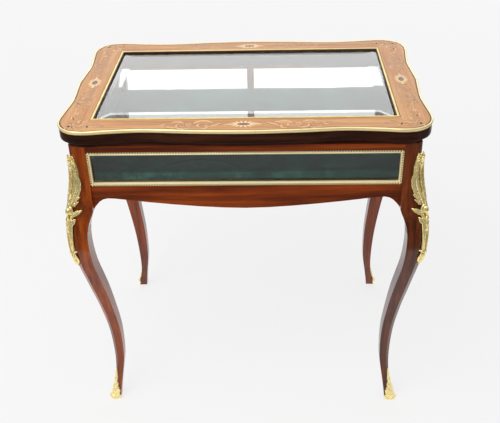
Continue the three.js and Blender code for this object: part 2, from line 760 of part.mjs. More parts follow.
// A place on the outline, in steps and straight between its points
function outlineAt(outline, steps) {
  const before = outline[Math.floor(steps) % OUTLINE_STEPS];
  const after = outline[Math.ceil(steps) % OUTLINE_STEPS];
  const share = steps - Math.floor(steps);
  return {
    point: before.point.clone().lerp(after.point, share),
    out: before.out.clone().lerp(after.out, share).normalize(),
  };
}

// One length of lid edging between two joints, with half of the fit left free at each end
function edgingGeometry(outline, from, to) {
  const places = [from * OUTLINE_STEPS];
  for (let i = Math.floor(places[0]) + 1; i < to * OUTLINE_STEPS; i += 1) {
    places.push(i);
  }
  places.push(to * OUTLINE_STEPS);
  const step = WOOD_TOP - EDGING_HEIGHT;
  const rings = places.map((place, i) => {
    const { point, out } = outlineAt(outline, place);
    const along = new THREE.Vector3(-out.y, out.x, 0);
    const inwards = (i === 0 ? FIT / 2 : 0) - (i === places.length - 1 ? FIT / 2 : 0);
    const centre = point.addScaledVector(along, inwards);
    return EDGING_SECTION_SHARES.map(([depth, rise, stand]) => {
      const inset = depth * EDGING_DEPTH;
      const level = step + rise * EDGING_HEIGHT + stand * EDGING_PROUD;
      return new THREE.Vector3(centre.x - out.x * inset, centre.y - out.y * inset, level);
    });
  });
  return skinned(rings);
}

// The lid's bevelled glass
function lidGlassGeometry() {
  const x = BEZEL_HALF_X - GLASS_REBATE - FIT;
  const y = BEZEL_HALF_Y - GLASS_REBATE - FIT;
  const ring = (inset, z) => CORNER_SIGNS.map(
    ([i, j]) => new THREE.Vector3(i * (x - inset), j * (y - inset), z));
  return skinned([
    ring(0, GLASS_SEAT),
    ring(0, GLASS_SEAT + GLASS_EDGE),
    ring(GLASS_BEVEL, GLASS_SEAT + GLASS_THICKNESS),
  ]);
}

// The brass bezel: it lies on the wood and turns down over the edge of the glass
function bezelGeometry() {
  const overGlass = GLASS_SEAT + GLASS_EDGE
    + (GLASS_THICKNESS - GLASS_EDGE) * BEZEL_WIDTH / GLASS_BEVEL + FIT;
  const round = BEAD_ROUND_SHARES.slice(0, -1).map(
    ([across, stand]) => [across * BEZEL_WIDTH, WOOD_TOP + stand * BEZEL_PROUD]);
  const section = [
    ...round,
    [BEZEL_WIDTH, WOOD_TOP - BEZEL_PROUD / 2],
    [BEZEL_WIDTH, overGlass],
    [BEZEL_LEG, overGlass],
    [BEZEL_LEG, WOOD_TOP],
  ];
  return skinned(frameRings(section, -BEZEL_HALF_X, BEZEL_HALF_X, -BEZEL_HALF_Y, BEZEL_HALF_Y), true);
}

// A cylinder along X on the hinge axis
function axisCylinder(x0, x1, radius) {
  const cylinder = new THREE.CylinderGeometry(radius, radius, x1 - x0, ROUND_STEPS);
  cylinder.rotateZ(Math.PI / 2);
  cylinder.translate((x0 + x1) / 2, AXIS_Y, AXIS_Z);
  return cylinder;
}

function caseLeafRecess(x) {
  const half = HINGE_LENGTH / 2 + FIT;
  return block(x - half, x + half, CASE_HALF_DEPTH - LEAF_REACH, CASE_HALF_DEPTH + CUT_OVERRUN,
    CASE_TOP - LEAF_THICKNESS, CASE_TOP + CUT_OVERRUN);
}

function lidLeafRecess(x) {
  const half = HINGE_LENGTH / 2 + FIT;
  return block(x - half, x + half, CASE_HALF_DEPTH - LEAF_REACH, CASE_HALF_DEPTH + CUT_OVERRUN,
    LID_UNDERSIDE - CUT_OVERRUN, LID_UNDERSIDE + LEAF_THICKNESS);
}

// Room for the knuckles and the pin in the lid's moulding
function knuckleNotch(x) {
  const half = HINGE_LENGTH / 2 + PIN_HEAD_THICKNESS + FIT + KNUCKLE_CLEARANCE;
  const room = KNUCKLE_RADIUS + KNUCKLE_CLEARANCE;
  return block(x - half, x + half, AXIS_Y - room, LID_DEPTH / 2 + CUT_OVERRUN,
    LID_UNDERSIDE - CUT_OVERRUN, AXIS_Z + room);
}

// A leaf of a hinge. The case leaf has the odd knuckles and lies below the axis; the lid leaf lies above it.
function leafGeometry(x, onLid) {
  const half = HINGE_LENGTH / 2;
  const z0 = onLid ? LID_UNDERSIDE : CASE_TOP - LEAF_THICKNESS;
  const z1 = z0 + LEAF_THICKNESS;
  const plateEnd = AXIS_Y - KNUCKLE_RADIUS - KNUCKLE_CLEARANCE;
  const plate = block(x - half, x + half, CASE_HALF_DEPTH - LEAF_REACH + FIT, plateEnd, z0, z1);
  const pitch = HINGE_LENGTH / KNUCKLE_COUNT;
  const added = [];
  for (let i = onLid ? 1 : 0; i < KNUCKLE_COUNT; i += 2) {
    const from = x - half + i * pitch + FIT / 2;
    const to = from + pitch - FIT;
    added.push(block(from, to, plateEnd - FIT, AXIS_Y, z0, z1));
    added.push(axisCylinder(from, to, KNUCKLE_RADIUS));
  }
  const bore = axisCylinder(x - half - CUT_OVERRUN, x + half + CUT_OVERRUN, PIN_RADIUS + FIT);
  return shaped(plate, added, [bore, ...screwSet(x, FIT, onLid ? -1 : 1)]);
}

// The hinge pin with a small head at each end
function pinGeometry(x) {
  const half = HINGE_LENGTH / 2 + FIT;
  const end = half + PIN_HEAD_THICKNESS;
  const profile = [
    [0, -end],
    [PIN_HEAD_RADIUS, -end],
    [PIN_HEAD_RADIUS, -half],
    [PIN_RADIUS, -half],
    [PIN_RADIUS, half],
    [PIN_HEAD_RADIUS, half],
    [PIN_HEAD_RADIUS, end],
    [0, end],
  ];
  const pin = new THREE.LatheGeometry(profile.map(([r, y]) => new THREE.Vector2(r, y)), ROUND_STEPS);
  pin.rotateZ(Math.PI / 2);
  pin.translate(x, AXIS_Y, AXIS_Z);
  return pin;
}

// A countersunk screw, grown by a margin. It goes down into the case for a direction of 1, up into the lid
// for -1.
function screwGeometry(x, grow, direction) {
  const head = SCREW_HEAD_RADIUS + grow;
  const shank = SCREW_RADIUS + grow;
  const profile = [
    [0, -SCREW_LENGTH - grow],
    [shank, SCREW_TIP - SCREW_LENGTH],
    [shank, -SCREW_HEAD_DEPTH],
    [head, 0],
  ];
  if (grow > 0) {
    profile.push([head, grow]);
  }
  profile.push([0, grow]);
  const screw = new THREE.LatheGeometry(profile.map(([r, y]) => new THREE.Vector2(r, y)), ROUND_STEPS);
  const face = direction > 0 ? CASE_TOP : LID_UNDERSIDE;
  const y = CASE_HALF_DEPTH - SCREW_SETBACK;
  return remapped(screw, (p) => p.set(x + p.x, y + p.z, face + direction * p.y));
}

// A screw with the slot cut in its head
function slottedScrewGeometry(x, direction) {
  const face = direction > 0 ? CASE_TOP : LID_UNDERSIDE;
  const levels = [face - direction * SCREW_SLOT_DEPTH, face + direction * CUT_OVERRUN];
  const y = CASE_HALF_DEPTH - SCREW_SETBACK;
  const slot = block(x - SCREW_SLOT_WIDTH / 2, x + SCREW_SLOT_WIDTH / 2, y - SCREW_HEAD_RADIUS - CUT_OVERRUN,
    y + SCREW_HEAD_RADIUS + CUT_OVERRUN, Math.min(...levels), Math.max(...levels));
  return shaped(screwGeometry(x, 0, direction), [], [slot]);
}

function screwPlaces(x) {
  return [x - SCREW_PITCH / 2, x + SCREW_PITCH / 2];
}

function screwSet(x, grow, direction) {
  return screwPlaces(x).map((place) => screwGeometry(place, grow, direction));
}

const CORNERS = [
  { name: 'front_left', signX: -1, signY: -1 },
  { name: 'front_right', signX: 1, signY: -1 },
  { name: 'back_left', signX: -1, signY: 1 },
  { name: 'back_right', signX: 1, signY: 1 },
];

function legsAndMounts() {
  const group = new THREE.Group();
  const sections = legSections();
  const leg = legGeometry(sections);
  const mount = kneeMountGeometry(sections);
  const sabot = sabotGeometry(sections);
  for (const { name, signX, signY } of CORNERS) {
    group.add(named(`leg_${name}`, mirrored(leg, signX, signY), rosewood()));
    group.add(named(`knee_mount_${name}`, mirrored(mount, signX, signY), giltBrass()));
    group.add(named(`sabot_${name}`, mirrored(sabot, signX, signY), giltBrass()));
  }
  return group;
}

function caseParts() {
  const group = new THREE.Group();
  for (const side of SIDES) {
    group.add(named(`top_rail_${side.name}`, topRailGeometry(side), rosewood()));
    group.add(named(`apron_${side.name}`, apronGeometry(side), rosewood()));
  }
  for (const opening of openings()) {
    group.add(named(`pane_${opening.name}`, paneGeometry(opening), clearGlass()));
    group.add(named(`bead_frame_${opening.name}`, beadFrameGeometry(opening), giltBrass()));
  }
  group.add(named('back_post', backPostGeometry(), rosewood()));
  group.add(named('base_board', baseBoardGeometry(), darkRosewood()));
  group.add(named('velvet_pad', padGeometry(), greenVelvet()));
  return group;
}

function lidParts() {
  const group = new THREE.Group();
  const outline = lidOutline();
  const frame = toSolid(lidFrameGeometry(outline));
  for (const { name, turns } of SIDES) {
    const rail = fromSolid(frame.intersect(toSolid(mitreWedge(turns))));
    group.add(named(`lid_rail_${name}`, rail, marquetry()));
  }
  EDGING_JOINT_SHARES.forEach(([name, from], i) => {
    const next = EDGING_JOINT_SHARES[i + 1];
    const to = next ? next[1] : 1 + EDGING_JOINT_SHARES[0][1];
    group.add(named(`lid_edging_${name}`, edgingGeometry(outline, from, to), giltBrass()));
  });
  group.add(named('lid_bezel', bezelGeometry(), giltBrass()));
  group.add(named('lid_glass', lidGlassGeometry(), clearGlass()));
  return group;
}

function hingeParts() {
  const group = new THREE.Group();
  for (const x of hingeCentres()) {
    const place = x < 0 ? 'left' : 'right';
    group.add(named(`hinge_case_leaf_${place}`, leafGeometry(x, false), hingeBrass()));
    group.add(named(`hinge_lid_leaf_${place}`, leafGeometry(x, true), hingeBrass()));
    group.add(named(`hinge_pin_${place}`, pinGeometry(x), hingeBrass()));
    screwPlaces(x).forEach((at, i) => {
      group.add(named(`case_screw_${place}_${i + 1}`, slottedScrewGeometry(at, 1), hingeBrass()));
      group.add(named(`lid_screw_${place}_${i + 1}`, slottedScrewGeometry(at, -1), hingeBrass()));
    });
  }
  return group;
}

const table = new THREE.Group();
table.add(legsAndMounts(), caseParts(), lidParts(), hingeParts());

export default table;
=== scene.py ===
"""The looks of the collectors display table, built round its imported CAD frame."""
import math

import bmesh
import bpy
import numpy as np
from mathutils import Matrix, Vector


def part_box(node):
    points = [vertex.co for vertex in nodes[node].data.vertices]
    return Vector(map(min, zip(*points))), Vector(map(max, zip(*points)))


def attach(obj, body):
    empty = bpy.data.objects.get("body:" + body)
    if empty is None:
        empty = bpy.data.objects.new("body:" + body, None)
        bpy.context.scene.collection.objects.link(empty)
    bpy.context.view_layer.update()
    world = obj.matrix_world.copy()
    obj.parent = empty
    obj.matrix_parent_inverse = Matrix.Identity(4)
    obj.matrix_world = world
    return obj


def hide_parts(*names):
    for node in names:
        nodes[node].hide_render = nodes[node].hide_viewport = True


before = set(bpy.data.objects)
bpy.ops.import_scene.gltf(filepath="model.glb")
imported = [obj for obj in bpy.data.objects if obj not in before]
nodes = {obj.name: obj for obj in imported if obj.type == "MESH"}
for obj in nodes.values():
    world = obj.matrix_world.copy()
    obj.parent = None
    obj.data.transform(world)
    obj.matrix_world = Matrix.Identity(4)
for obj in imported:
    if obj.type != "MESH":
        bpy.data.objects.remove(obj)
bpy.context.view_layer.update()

scene = bpy.context.scene

MM = 0.001
ROOT2 = math.sqrt(2)

# Sizes in millimetres. Those that the part has too are the same there, but for the lid's edging, the
# place of the screws' beds and the width of the beading.
HALF_X, HALF_Y = 385.0, 255.0
LID_BOTTOM, WOOD_TOP = 718.0, 758.5
CASE_TOP, OPENING_TOP, OPENING_BOTTOM = 717.5, 703.0, 622.0
APRON_LOWEST, BOARD_TOP = 566.0, 620.0
CASE_X, CASE_Y = 364.0, 234.0
FIT = 0.3
EDGING_DEPTH, EDGING_HEIGHT, EDGING_PROUD = 3.7, 6.6, 1.0
MOULDING_INSET, MOULDING_TOP_INSET, MOULDING_ROUND = 15.0, 1.5, 16.0
FRIEZE_INSET, FRIEZE_HEIGHT, OVOLO_INSET, OVOLO_HEIGHT, OVOLO_ARC = 14.5, 11.4, 2.6, 11.9, 13
STRINGING, VENEER_LAP, BEZEL_LINE_OUT, BEZEL_LINE_IN = 2.9, 12.0, 1.3, 0.5
PAD_THICK, PAD_GAP, PAD_CORNER, PAD_SHIFT, PAD_PUFF, CLOTH_STEPS = 25.0, 0.6, 5.0, 0.4, 2.6, 20
BEZEL_X, BEZEL_Y, BEZEL_WIDTH, BEZEL_LEG = 318.0, 195.7, 7.0, 4.0
GLASS_REBATE, GLASS_LIP, GLASS_SEAT, GLASS_EDGE = 3.5, 6.0, 751.5, 2.6
GLASS_THICKNESS, GLASS_BEVEL = 6.0, 33.0
LEG_BLOCK, LEG_SWING, CANT_SHARE, LEG_STEPS = 36.5, 22.0, 0.3, 46
FOOT_DRIFT_X, FOOT_DRIFT_Y = -3.0, 16.0
SABOT_SOLE, POST_NECK, BEAD_WIDTH = 3.0, 4.0, 6.9
RAIL, REBATE, PANE = 20.0, 10.0, 4.0
BAND_X, BAND_Y, CORNER_X, CORNER_Y = 347.0, 221.5, 352.0, 224.0
AXIS_Y, AXIS_Z, KNUCKLE = 238.5, 717.75, 3.5
SCREW_X, SCREW_Y, SCREW_ROOM, HINGE_ROOM, OVERRUN = 14.0, 9.0, 3.6, 0.6, 2.0
HINGE_X, HINGE_LENGTH, LEAF, LEAF_REACH = 270.0, 50.0, 1.5, 17.3

OUTLINE = [(0, .994), (.27, .981), (.54, .953), (.715, .972), (.84, .993), (.914, .972), (.966, .912),
           (.993, .833), (1, .753), (.991, .588), (.98, .392), (.987, .19), (.995, 0)]
EDGING_JOINTS = [("front_right", .005), ("right", .083), ("back_right", .417), ("back_left", .5),
                 ("left", .583), ("front_left", .917), ("", 1.005)]
# Rows of pearls: their distance in from the frame's edge, level, radius and pitch.
BEZEL_PEARLS, BEAD_PEARLS = (1.5, WOOD_TOP + 0.5, 1.3, 3.9), (1.95, -0.1, 1.75, 5.6)
LEG_TOP = [(1, 0), (.622, .02), (.36, .14), (.16, .36), (0, .61)]
LEG_CURVE = [(.973, .75, .83), (.947, .86, .68), (.911, .95, .53), (.867, .99, .48), (.813, .955, .49),
             (.742, .75, .58), (.673, .41, .76), (.602, .07, .94), (.531, -.3, 1.08), (.459, -.61, 1.2),
             (.39, -.86, 1.3), (.327, -1, 1.33), (.265, -1.07, 1.315), (.212, -1.08, 1.27),
             (.159, -1.02, 1.15), (.107, -.89, 1.01), (.062, -.66, .9), (.027, -.45, .82), (0, -.32, .77)]


# Meshes

def link(obj):
    scene.collection.objects.link(obj)
    return obj


def smooth(mesh):
    mesh.polygons.foreach_set("use_smooth", [True] * len(mesh.polygons))


def make(name, verts, faces, materials, slots=None, angle=35.0):
    """A mesh object from millimetre points, smooth but for edges sharper than angle degrees."""
    mesh = bpy.data.meshes.new(name)
    mesh.from_pydata([tuple(np.asarray(v, float) * MM) for v in verts], [], [list(f) for f in faces])
    for material in materials:
        mesh.materials.append(material)
    if slots is not None:
        mesh.polygons.foreach_set("material_index", list(slots))
    bm = bmesh.new()
    bm.from_mesh(mesh)
    bmesh.ops.recalc_face_normals(bm, faces=bm.faces)
    bm.to_mesh(mesh)
    bm.free()
    smooth(mesh)
    mesh.set_sharp_from_angle(angle=math.radians(angle))
    mesh.update()
    return link(bpy.data.objects.new(name, mesh))


def settle(piece, body, stands_for=None):
    """Says what a piece rides on, and hides the node that it stands for."""
    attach(piece, body)
    if stands_for:
        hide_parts(stands_for)


def modify(obj, kind, **settings):
    modifier = obj.modifiers.new(kind.lower(), kind)
    for key, value in settings.items():
        setattr(modifier, key, value)
    return modifier


def points_of(mesh):
    flat = np.zeros(len(mesh.vertices) * 3)
    mesh.vertices.foreach_get("co", flat)
    return flat.reshape(-1, 3)


def set_points(mesh, points):
    mesh.vertices.foreach_set("co", points.astype(np.float32).ravel())


def skin(rings, loop=False, caps=True, around=True):
    """Points and faces of a skin over rings with the same number of points."""
    count = len(rings[0])
    verts = [p for ring in rings for p in ring]
    faces, bands = [], []
    for i in range(len(rings) if loop else len(rings) - 1):
        a, b = i * count, ((i + 1) % len(rings)) * count
        for j in range(count if around else count - 1):
            k = (j + 1) % count
            faces.append((a + j, b + j, b + k, a + k))
            bands.append(j)
    if caps and not loop and around:
        faces.append(tuple(range(count - 1, -1, -1)))
        faces.append(tuple((len(rings) - 1) * count + j for j in range(count)))
        bands += [-1, -1]
    return verts, faces, bands


def arc(centre_u, centre_v, radius_u, radius_v, start, end, count):
    """Points along part of an ellipse, from one angle to another in degrees."""
    return [(centre_u + radius_u * math.cos(a), centre_v + radius_v * math.sin(a))
            for a in np.radians(np.linspace(start, end, count))]


def merge(parts):
    """Several (points, faces) meshes as one."""
    verts, faces = [], []
    for some, sides in parts:
        base = len(verts)
        verts += [tuple(v) for v in some]
        faces += [tuple(base + i for i in f) for f in sides]
    return verts, faces


def evaluated(obj):
    """Replaces the object's mesh with what its modifiers make of it."""
    graph = bpy.context.evaluated_depsgraph_get()
    graph.update()
    mesh = bpy.data.meshes.new_from_object(obj.evaluated_get(graph))
    old = obj.data
    obj.modifiers.clear()
    obj.data = mesh
    mesh.name = obj.name
    bpy.data.meshes.remove(old)
    return obj


def table_at(rows, place):
    return float(np.interp(place, *zip(*rows)))


def curve_at(points, place, closed):
    """A point of a centripetal Catmull-Rom curve, with place counted in its segments."""
    count = len(points)
    i = int(math.floor(place))
    if not closed:
        i = min(max(i, 0), count - 2)
    w = place - i
    get = lambda k: np.asarray(points[k % count], float)
    p1, p2 = get(i), get(i + 1)
    p0 = get(i - 1) if closed or i > 0 else 2 * p1 - p2
    p3 = get(i + 2) if closed or i + 2 < count else 2 * p2 - p1
    d0, d1, d2 = (math.sqrt(np.linalg.norm(b - a)) for a, b in ((p0, p1), (p1, p2), (p2, p3)))
    d1 = d1 if d1 > 1e-4 else 1.0
    d0 = d0 if d0 > 1e-4 else d1
    d2 = d2 if d2 > 1e-4 else d1
    t1 = ((p1 - p0) / d0 - (p2 - p0) / (d0 + d1) + (p2 - p1) / d1) * d1
    t2 = ((p2 - p1) / d1 - (p3 - p1) / (d1 + d2) + (p3 - p2) / d2) * d1
    return p1 + t1 * w + (-3 * p1 + 3 * p2 - 2 * t1 - t2) * w * w + (2 * p1 - 2 * p2 + t1 + t2) * w ** 3


def heading(points, place, closed=False, reach=0.02):
    """A point of a curve and the unit direction that it runs in there."""
    low, high = place - reach, place + reach
    if not closed:
        low, high = max(0, low), min(len(points) - 1, high)
    way = curve_at(points, high, closed) - curve_at(points, low, closed)
    return curve_at(points, place, closed), way / max(1e-9, np.linalg.norm(way))


# Materials

WHITE = (1.0, 1.0, 1.0, 1.0)


def srgb(r, g, b):
    return tuple((c / 255 / 12.92) if c <= 10 else ((c / 255 + 0.055) / 1.055) ** 2.4
                 for c in (r, g, b)) + (1.0,)


class Nodes:
    """Short calls for the nodes of a new material, or of the tree that is given."""

    def __init__(self, name, tree=None):
        if tree is None:
            self.material = bpy.data.materials.new(name)
            self.material.use_nodes = True
            tree = self.material.node_tree
            self.shader = tree.nodes["Principled BSDF"]
        self.tree = tree
        self.place = 0

    def add(self, kind, inputs=None, **settings):
        node = self.tree.nodes.new(kind)
        self.place += 1
        node.location = (-220 * (1 + self.place % 9), -260 * (self.place // 9))
        for key, value in settings.items():
            setattr(node, key, value)
        for key, value in (inputs or {}).items():
            self.set(node.inputs[key], value)
        return node

    def set(self, socket, value):
        if isinstance(value, bpy.types.NodeSocket):
            self.tree.links.new(value, socket)
        else:
            socket.default_value = value

    def to(self, **values):
        for key, value in values.items():
            self.set(self.shader.inputs[key.replace("_", " ")], value)

    def cover(self, share, a, b):
        """Mixes two shaders into the material's surface."""
        mixer = self.add("ShaderNodeMixShader", {0: share, 1: a.outputs[0], 2: b.outputs[0]})
        self.set(self.tree.nodes["Material Output"].inputs["Surface"], mixer.outputs[0])

    def where(self, scale=(1, 1, 1), turn=(0, 0, 0), start=0.0):
        coords = self.add("ShaderNodeTexCoord").outputs["Object"]
        return self.add("ShaderNodeMapping", {"Vector": coords, "Scale": scale, "Rotation": turn,
                                              "Location": (start, start, start)}).outputs[0]

    def parts(self, vector):
        return self.add("ShaderNodeSeparateXYZ", {0: vector}).outputs

    def noise(self, vector, scale, detail=4.0, rough=0.55, bend=0.0):
        return self.add("ShaderNodeTexNoise", {"Vector": vector, "Scale": scale, "Detail": detail,
                                               "Roughness": rough, "Distortion": bend}).outputs[0]

    def math(self, what, a, b=0.0, clamp=False):
        return self.add("ShaderNodeMath", {0: a, 1: b}, operation=what, use_clamp=clamp).outputs[0]

    def total(self, *terms):
        """The sum of values, each times its weight."""
        weighted = [value if weight == 1 else self.math("MULTIPLY", value, weight) for value, weight in terms]
        found = weighted[0]
        for value in weighted[1:]:
            found = self.math("ADD", found, value)
        return found

    def span(self, value, low, high, to_low=0.0, to_high=1.0):
        return self.add("ShaderNodeMapRange", {0: value, 1: low, 2: high, 3: to_low, 4: to_high}).outputs[0]

    def ramp(self, value, stops):
        node = self.add("ShaderNodeValToRGB", {0: value})
        band = node.color_ramp
        while len(band.elements) < len(stops):
            band.elements.new(0.5)
        for element, (place, colour) in zip(band.elements, stops):
            element.position = place
            element.color = colour
        return node.outputs[0]

    def mix(self, share, a, b):
        return self.add("ShaderNodeMix", {0: share, 6: a, 7: b}, data_type="RGBA").outputs[2]

    def choose(self, share, a, b):
        return self.add("ShaderNodeMix", {0: share, 2: a, 3: b}).outputs[0]

    def bump(self, height, strength, distance=0.0005):
        node = self.add("ShaderNodeBump", {"Height": height, "Strength": strength, "Distance": distance})
        self.set(self.shader.inputs["Normal"], node.outputs[0])


def wood(name, axis, tones, coat=0.7, figure=1.0, rough=0.34, start=0.0, shade_top=None):
    """Polished veneer: broad figure, dark streaks and fine pores, all drawn out along one axis.
    A lip behind a pane gets painted shade: its top face, at the given height in metres, is drawn near black
    for the shadow gap beside the beading."""
    n = Nodes(name)

    def drawn(along, across, detail, coarse, bend=0.0):
        scale = [across] * 3
        scale[axis] = along
        return n.noise(n.where(scale, start=start), 1.0, detail, coarse, bend)
    broad = drawn(1.6, 16.0, 3.0, 0.5, 0.9)
    streak = drawn(3.2, 95.0, 5.0, 0.6, 0.35)
    fine = drawn(14.0, 620.0, 4.0, 0.6)
    pores = drawn(55.0, 2300.0, 2.0, 0.5)
    broad_share, streak_share, fine_share = 0.42, 0.42, 0.16
    mixed = n.total((broad, broad_share * figure), (streak, streak_share), (fine, fine_share))
    mixed = n.math("ADD", mixed, broad_share * (1 - figure) / 2)
    dark, low, mid, light = [srgb(*tone) for tone in tones]
    colour = n.ramp(mixed, [(0.34, dark), (0.44, low), (0.53, mid), (0.64, light)])
    colour = n.mix(n.span(pores, 0.56, 0.7, 0.0, 0.55), colour, dark)
    # Painted shade: the top of the lip behind the panes turns near black.
    if shade_top:
        height = n.parts(n.where())[2]
        colour = n.mix(n.span(height, shade_top - 0.6 * MM, shade_top - 0.3 * MM), colour, srgb(24, 22, 16))
    n.to(Base_Color=colour, Roughness=n.span(fine, 0.3, 0.7, rough - 0.05, rough + 0.07),
         Coat_Weight=coat, Coat_Roughness=0.06, Coat_IOR=1.5, Specular_IOR_Level=0.16)
    n.bump(n.total((pores, -0.6), (fine, 0.5)), 0.12, 0.0002)
    return n.material


ROSE = ((44, 14, 2), (86, 31, 3), (122, 48, 4), (152, 68, 10))
# Painted light and shade: the next two rows are darker and brighter copies of the rosewood, for the front
# right leg in shade and the front left leg in light.
SHADED_TONES = ((36, 13, 4), (68, 27, 6), (98, 43, 12), (124, 60, 20))
LIT_TONES = ((52, 17, 0), (100, 38, 0), (140, 60, 2), (170, 82, 8))
# Painted shade and painted dark reflection: the moulding's rosewood is drawn much darker than the rest, for
# the shade on the lid's edge.
DEEP_SHADE_TONES = ((18, 8, 3), (32, 13, 5), (50, 21, 8), (72, 34, 14))
PALE = ((140, 84, 42), (180, 118, 62), (204, 144, 82), (220, 168, 108))
# Top of the aprons. Their lip behind the panes carries painted shade.
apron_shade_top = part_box("apron_front")[1].z
rose_x, rose_y = [wood("rosewood_" + a, i, ROSE) for i, a in enumerate("xy")]
rose_z = wood("rosewood_z", 2, ROSE, figure=0.7, start=3.1)
rose_shaded = wood("rosewood_painted_shade", 2, SHADED_TONES, figure=0.9, start=2.3)
rose_lit = wood("rosewood_painted_light", 2, LIT_TONES, figure=0.7, start=3.1)
apron_wood = [wood("apron_" + a, i, ROSE, 0.5, shade_top=apron_shade_top) for i, a in enumerate("xy")]
# The lid's moulding takes the darkened tones, which are painted shade.
moulding = [wood("moulding_" + a, i, DEEP_SHADE_TONES, 0.12) for i, a in enumerate("xy")]
veneer = [wood("veneer_" + a, i, PALE, 0.12, 0.7, 0.36) for i, a in enumerate("xy")]


def plain_wood(name, dark, light, seed, coat=0.1):
    """Small pieces of dyed or plain inlay wood, each with a fine grain."""
    n = Nodes("inlay_" + name)
    turn = (0, 0, seed)
    patch = n.noise(n.where(turn=turn), 60.0, 2.0, 0.5)
    grain = n.noise(n.where((60, 900, 900), turn), 1.0, 3.0, 0.6)
    share = n.total((grain, 0.6), (patch, 0.4))
    n.to(Base_Color=n.ramp(share, [(0.36, srgb(*dark)), (0.64, srgb(*light))]),
         Roughness=n.span(grain, 0.3, 0.7, 0.27, 0.37), Coat_Weight=coat, Coat_Roughness=0.07,
         Specular_IOR_Level=0.2)
    n.bump(grain, 0.08, 0.0001)
    return n.material


string_dark = plain_wood("ebony", (26, 10, 7), (58, 22, 14), 0.3)
RIM, PALE_WOOD, GOLD, GREEN, BROWN, RED, HEART = range(7)
TONES = [plain_wood(*row) for row in (
    ("shaded", (156, 102, 60), (182, 124, 76), 0.6), ("holly", (236, 198, 142), (246, 216, 166), 0.9),
    ("box", (220, 172, 104), (232, 190, 124), 1.2), ("green", (178, 132, 82), (200, 150, 98), 1.4),
    ("walnut", (154, 102, 62), (184, 126, 80), 2.1), ("padauk", (188, 120, 78), (208, 142, 96), 2.7),
    ("smoked", (98, 66, 42), (134, 98, 68), 3.1))]


def metal(name, bright, dull, rough, patina_shade=False, tarnish=0.35, metallic=0.66):
    """Gilt brass with faint rubbing, small pits and a brown patina. Where the mesh carries its mark, the
    brown is deeper in the hollows, as patina, and also darkens the casting where it meets the wood of the
    leg, as painted shade.
    """
    n = Nodes(name)
    where = n.where()
    cloud = n.noise(where, 55.0, 4.0, 0.6)
    grain = n.noise(where, 900.0, 3.0, 0.6)
    spots = n.noise(where, 210.0, 5.0, 0.65)
    colour = n.mix(n.span(cloud, 0.35, 0.7, 0.0, tarnish), srgb(*bright), srgb(*dull))
    roughness = n.math("ADD", n.span(cloud, 0.3, 0.7, rough - 0.04, rough + 0.08),
                       n.span(grain, 0.3, 0.7, -0.03, 0.03))
    # The mesh's mark brings in brown: patina in the hollows and painted shade next to the leg's wood.
    if patina_shade:
        hollow = n.add("ShaderNodeAttribute", attribute_name="hollow").outputs["Fac"]
        hollow = n.math("MULTIPLY", hollow, n.span(spots, 0.3, 0.7, 0.75, 1.15), True)
        colour = n.mix(hollow, colour, srgb(78, 46, 16))
        roughness = n.total((roughness, 1), (hollow, 0.3))
        chasing = n.noise(n.where((1, 1, 0.38)), 240.0, 2.0, 0.5)
        n.bump(n.total((chasing, 1), (grain, 0.03)), 0.55, 0.0022)
    else:
        n.bump(n.total((grain, 1), (spots, 0.8)), 0.10, 0.0002)
    n.to(Base_Color=colour, Roughness=roughness, Metallic=metallic)
    return n.material


gilt = metal("gilt_brass", (255, 236, 168), (243, 207, 126), 0.24, patina_shade=True, metallic=0.72)
pale_gilt = metal("gilt_edging", (252, 230, 174), (236, 206, 140), 0.4, tarnish=0.5)
bead_gilt = metal("gilt_beading", (255, 240, 190), (246, 221, 156), 0.36, tarnish=0.5, metallic=0.5)
bezel_gilt = metal("gilt_bezel", (230, 202, 134), (190, 158, 92), 0.32, tarnish=0.5, metallic=0.75)
# Painted shade: a near-black brown gilt for the ground under the beading's pearls, its outer edge and the
# bezel's inner side, standing for the shade there.
gilt_shade = metal("gilt_painted_shade", (58, 36, 16), (34, 20, 9), 0.55, tarnish=0.6, metallic=0.2)
hinge_metal = metal("hinge_brass", (206, 168, 98), (150, 116, 62), 0.34, tarnish=0.6)


def glass():
    """Clear glass that lets the lamps through, with a faint green in it and old surface ripple."""
    n = Nodes("clear_glass")
    n.to(Base_Color=(0.955, 0.985, 0.97, 1.0), Roughness=0.0, IOR=1.5, Transmission_Weight=1.0)
    n.bump(n.noise(n.where(), 9.0, 2.0, 0.5), 0.05, 0.0006)
    path = n.add("ShaderNodeLightPath").outputs
    through = n.math("MAXIMUM", path["Is Shadow Ray"], path["Is Diffuse Ray"])
    clear = n.add("ShaderNodeBsdfTransparent", {"Color": (0.93, 0.96, 0.95, 1.0)})
    n.cover(through, n.shader, clear)
    return n.material


# Painted shade on the velvet: where it starts, measured from the middle sideways and towards the front, and
# the heights over which it fades in on the pad's top.
SHADE_ASIDE, SHADE_BEFORE, SHADE_LOW, SHADE_HIGH = 0.25, 0.075, 0.640, 0.644


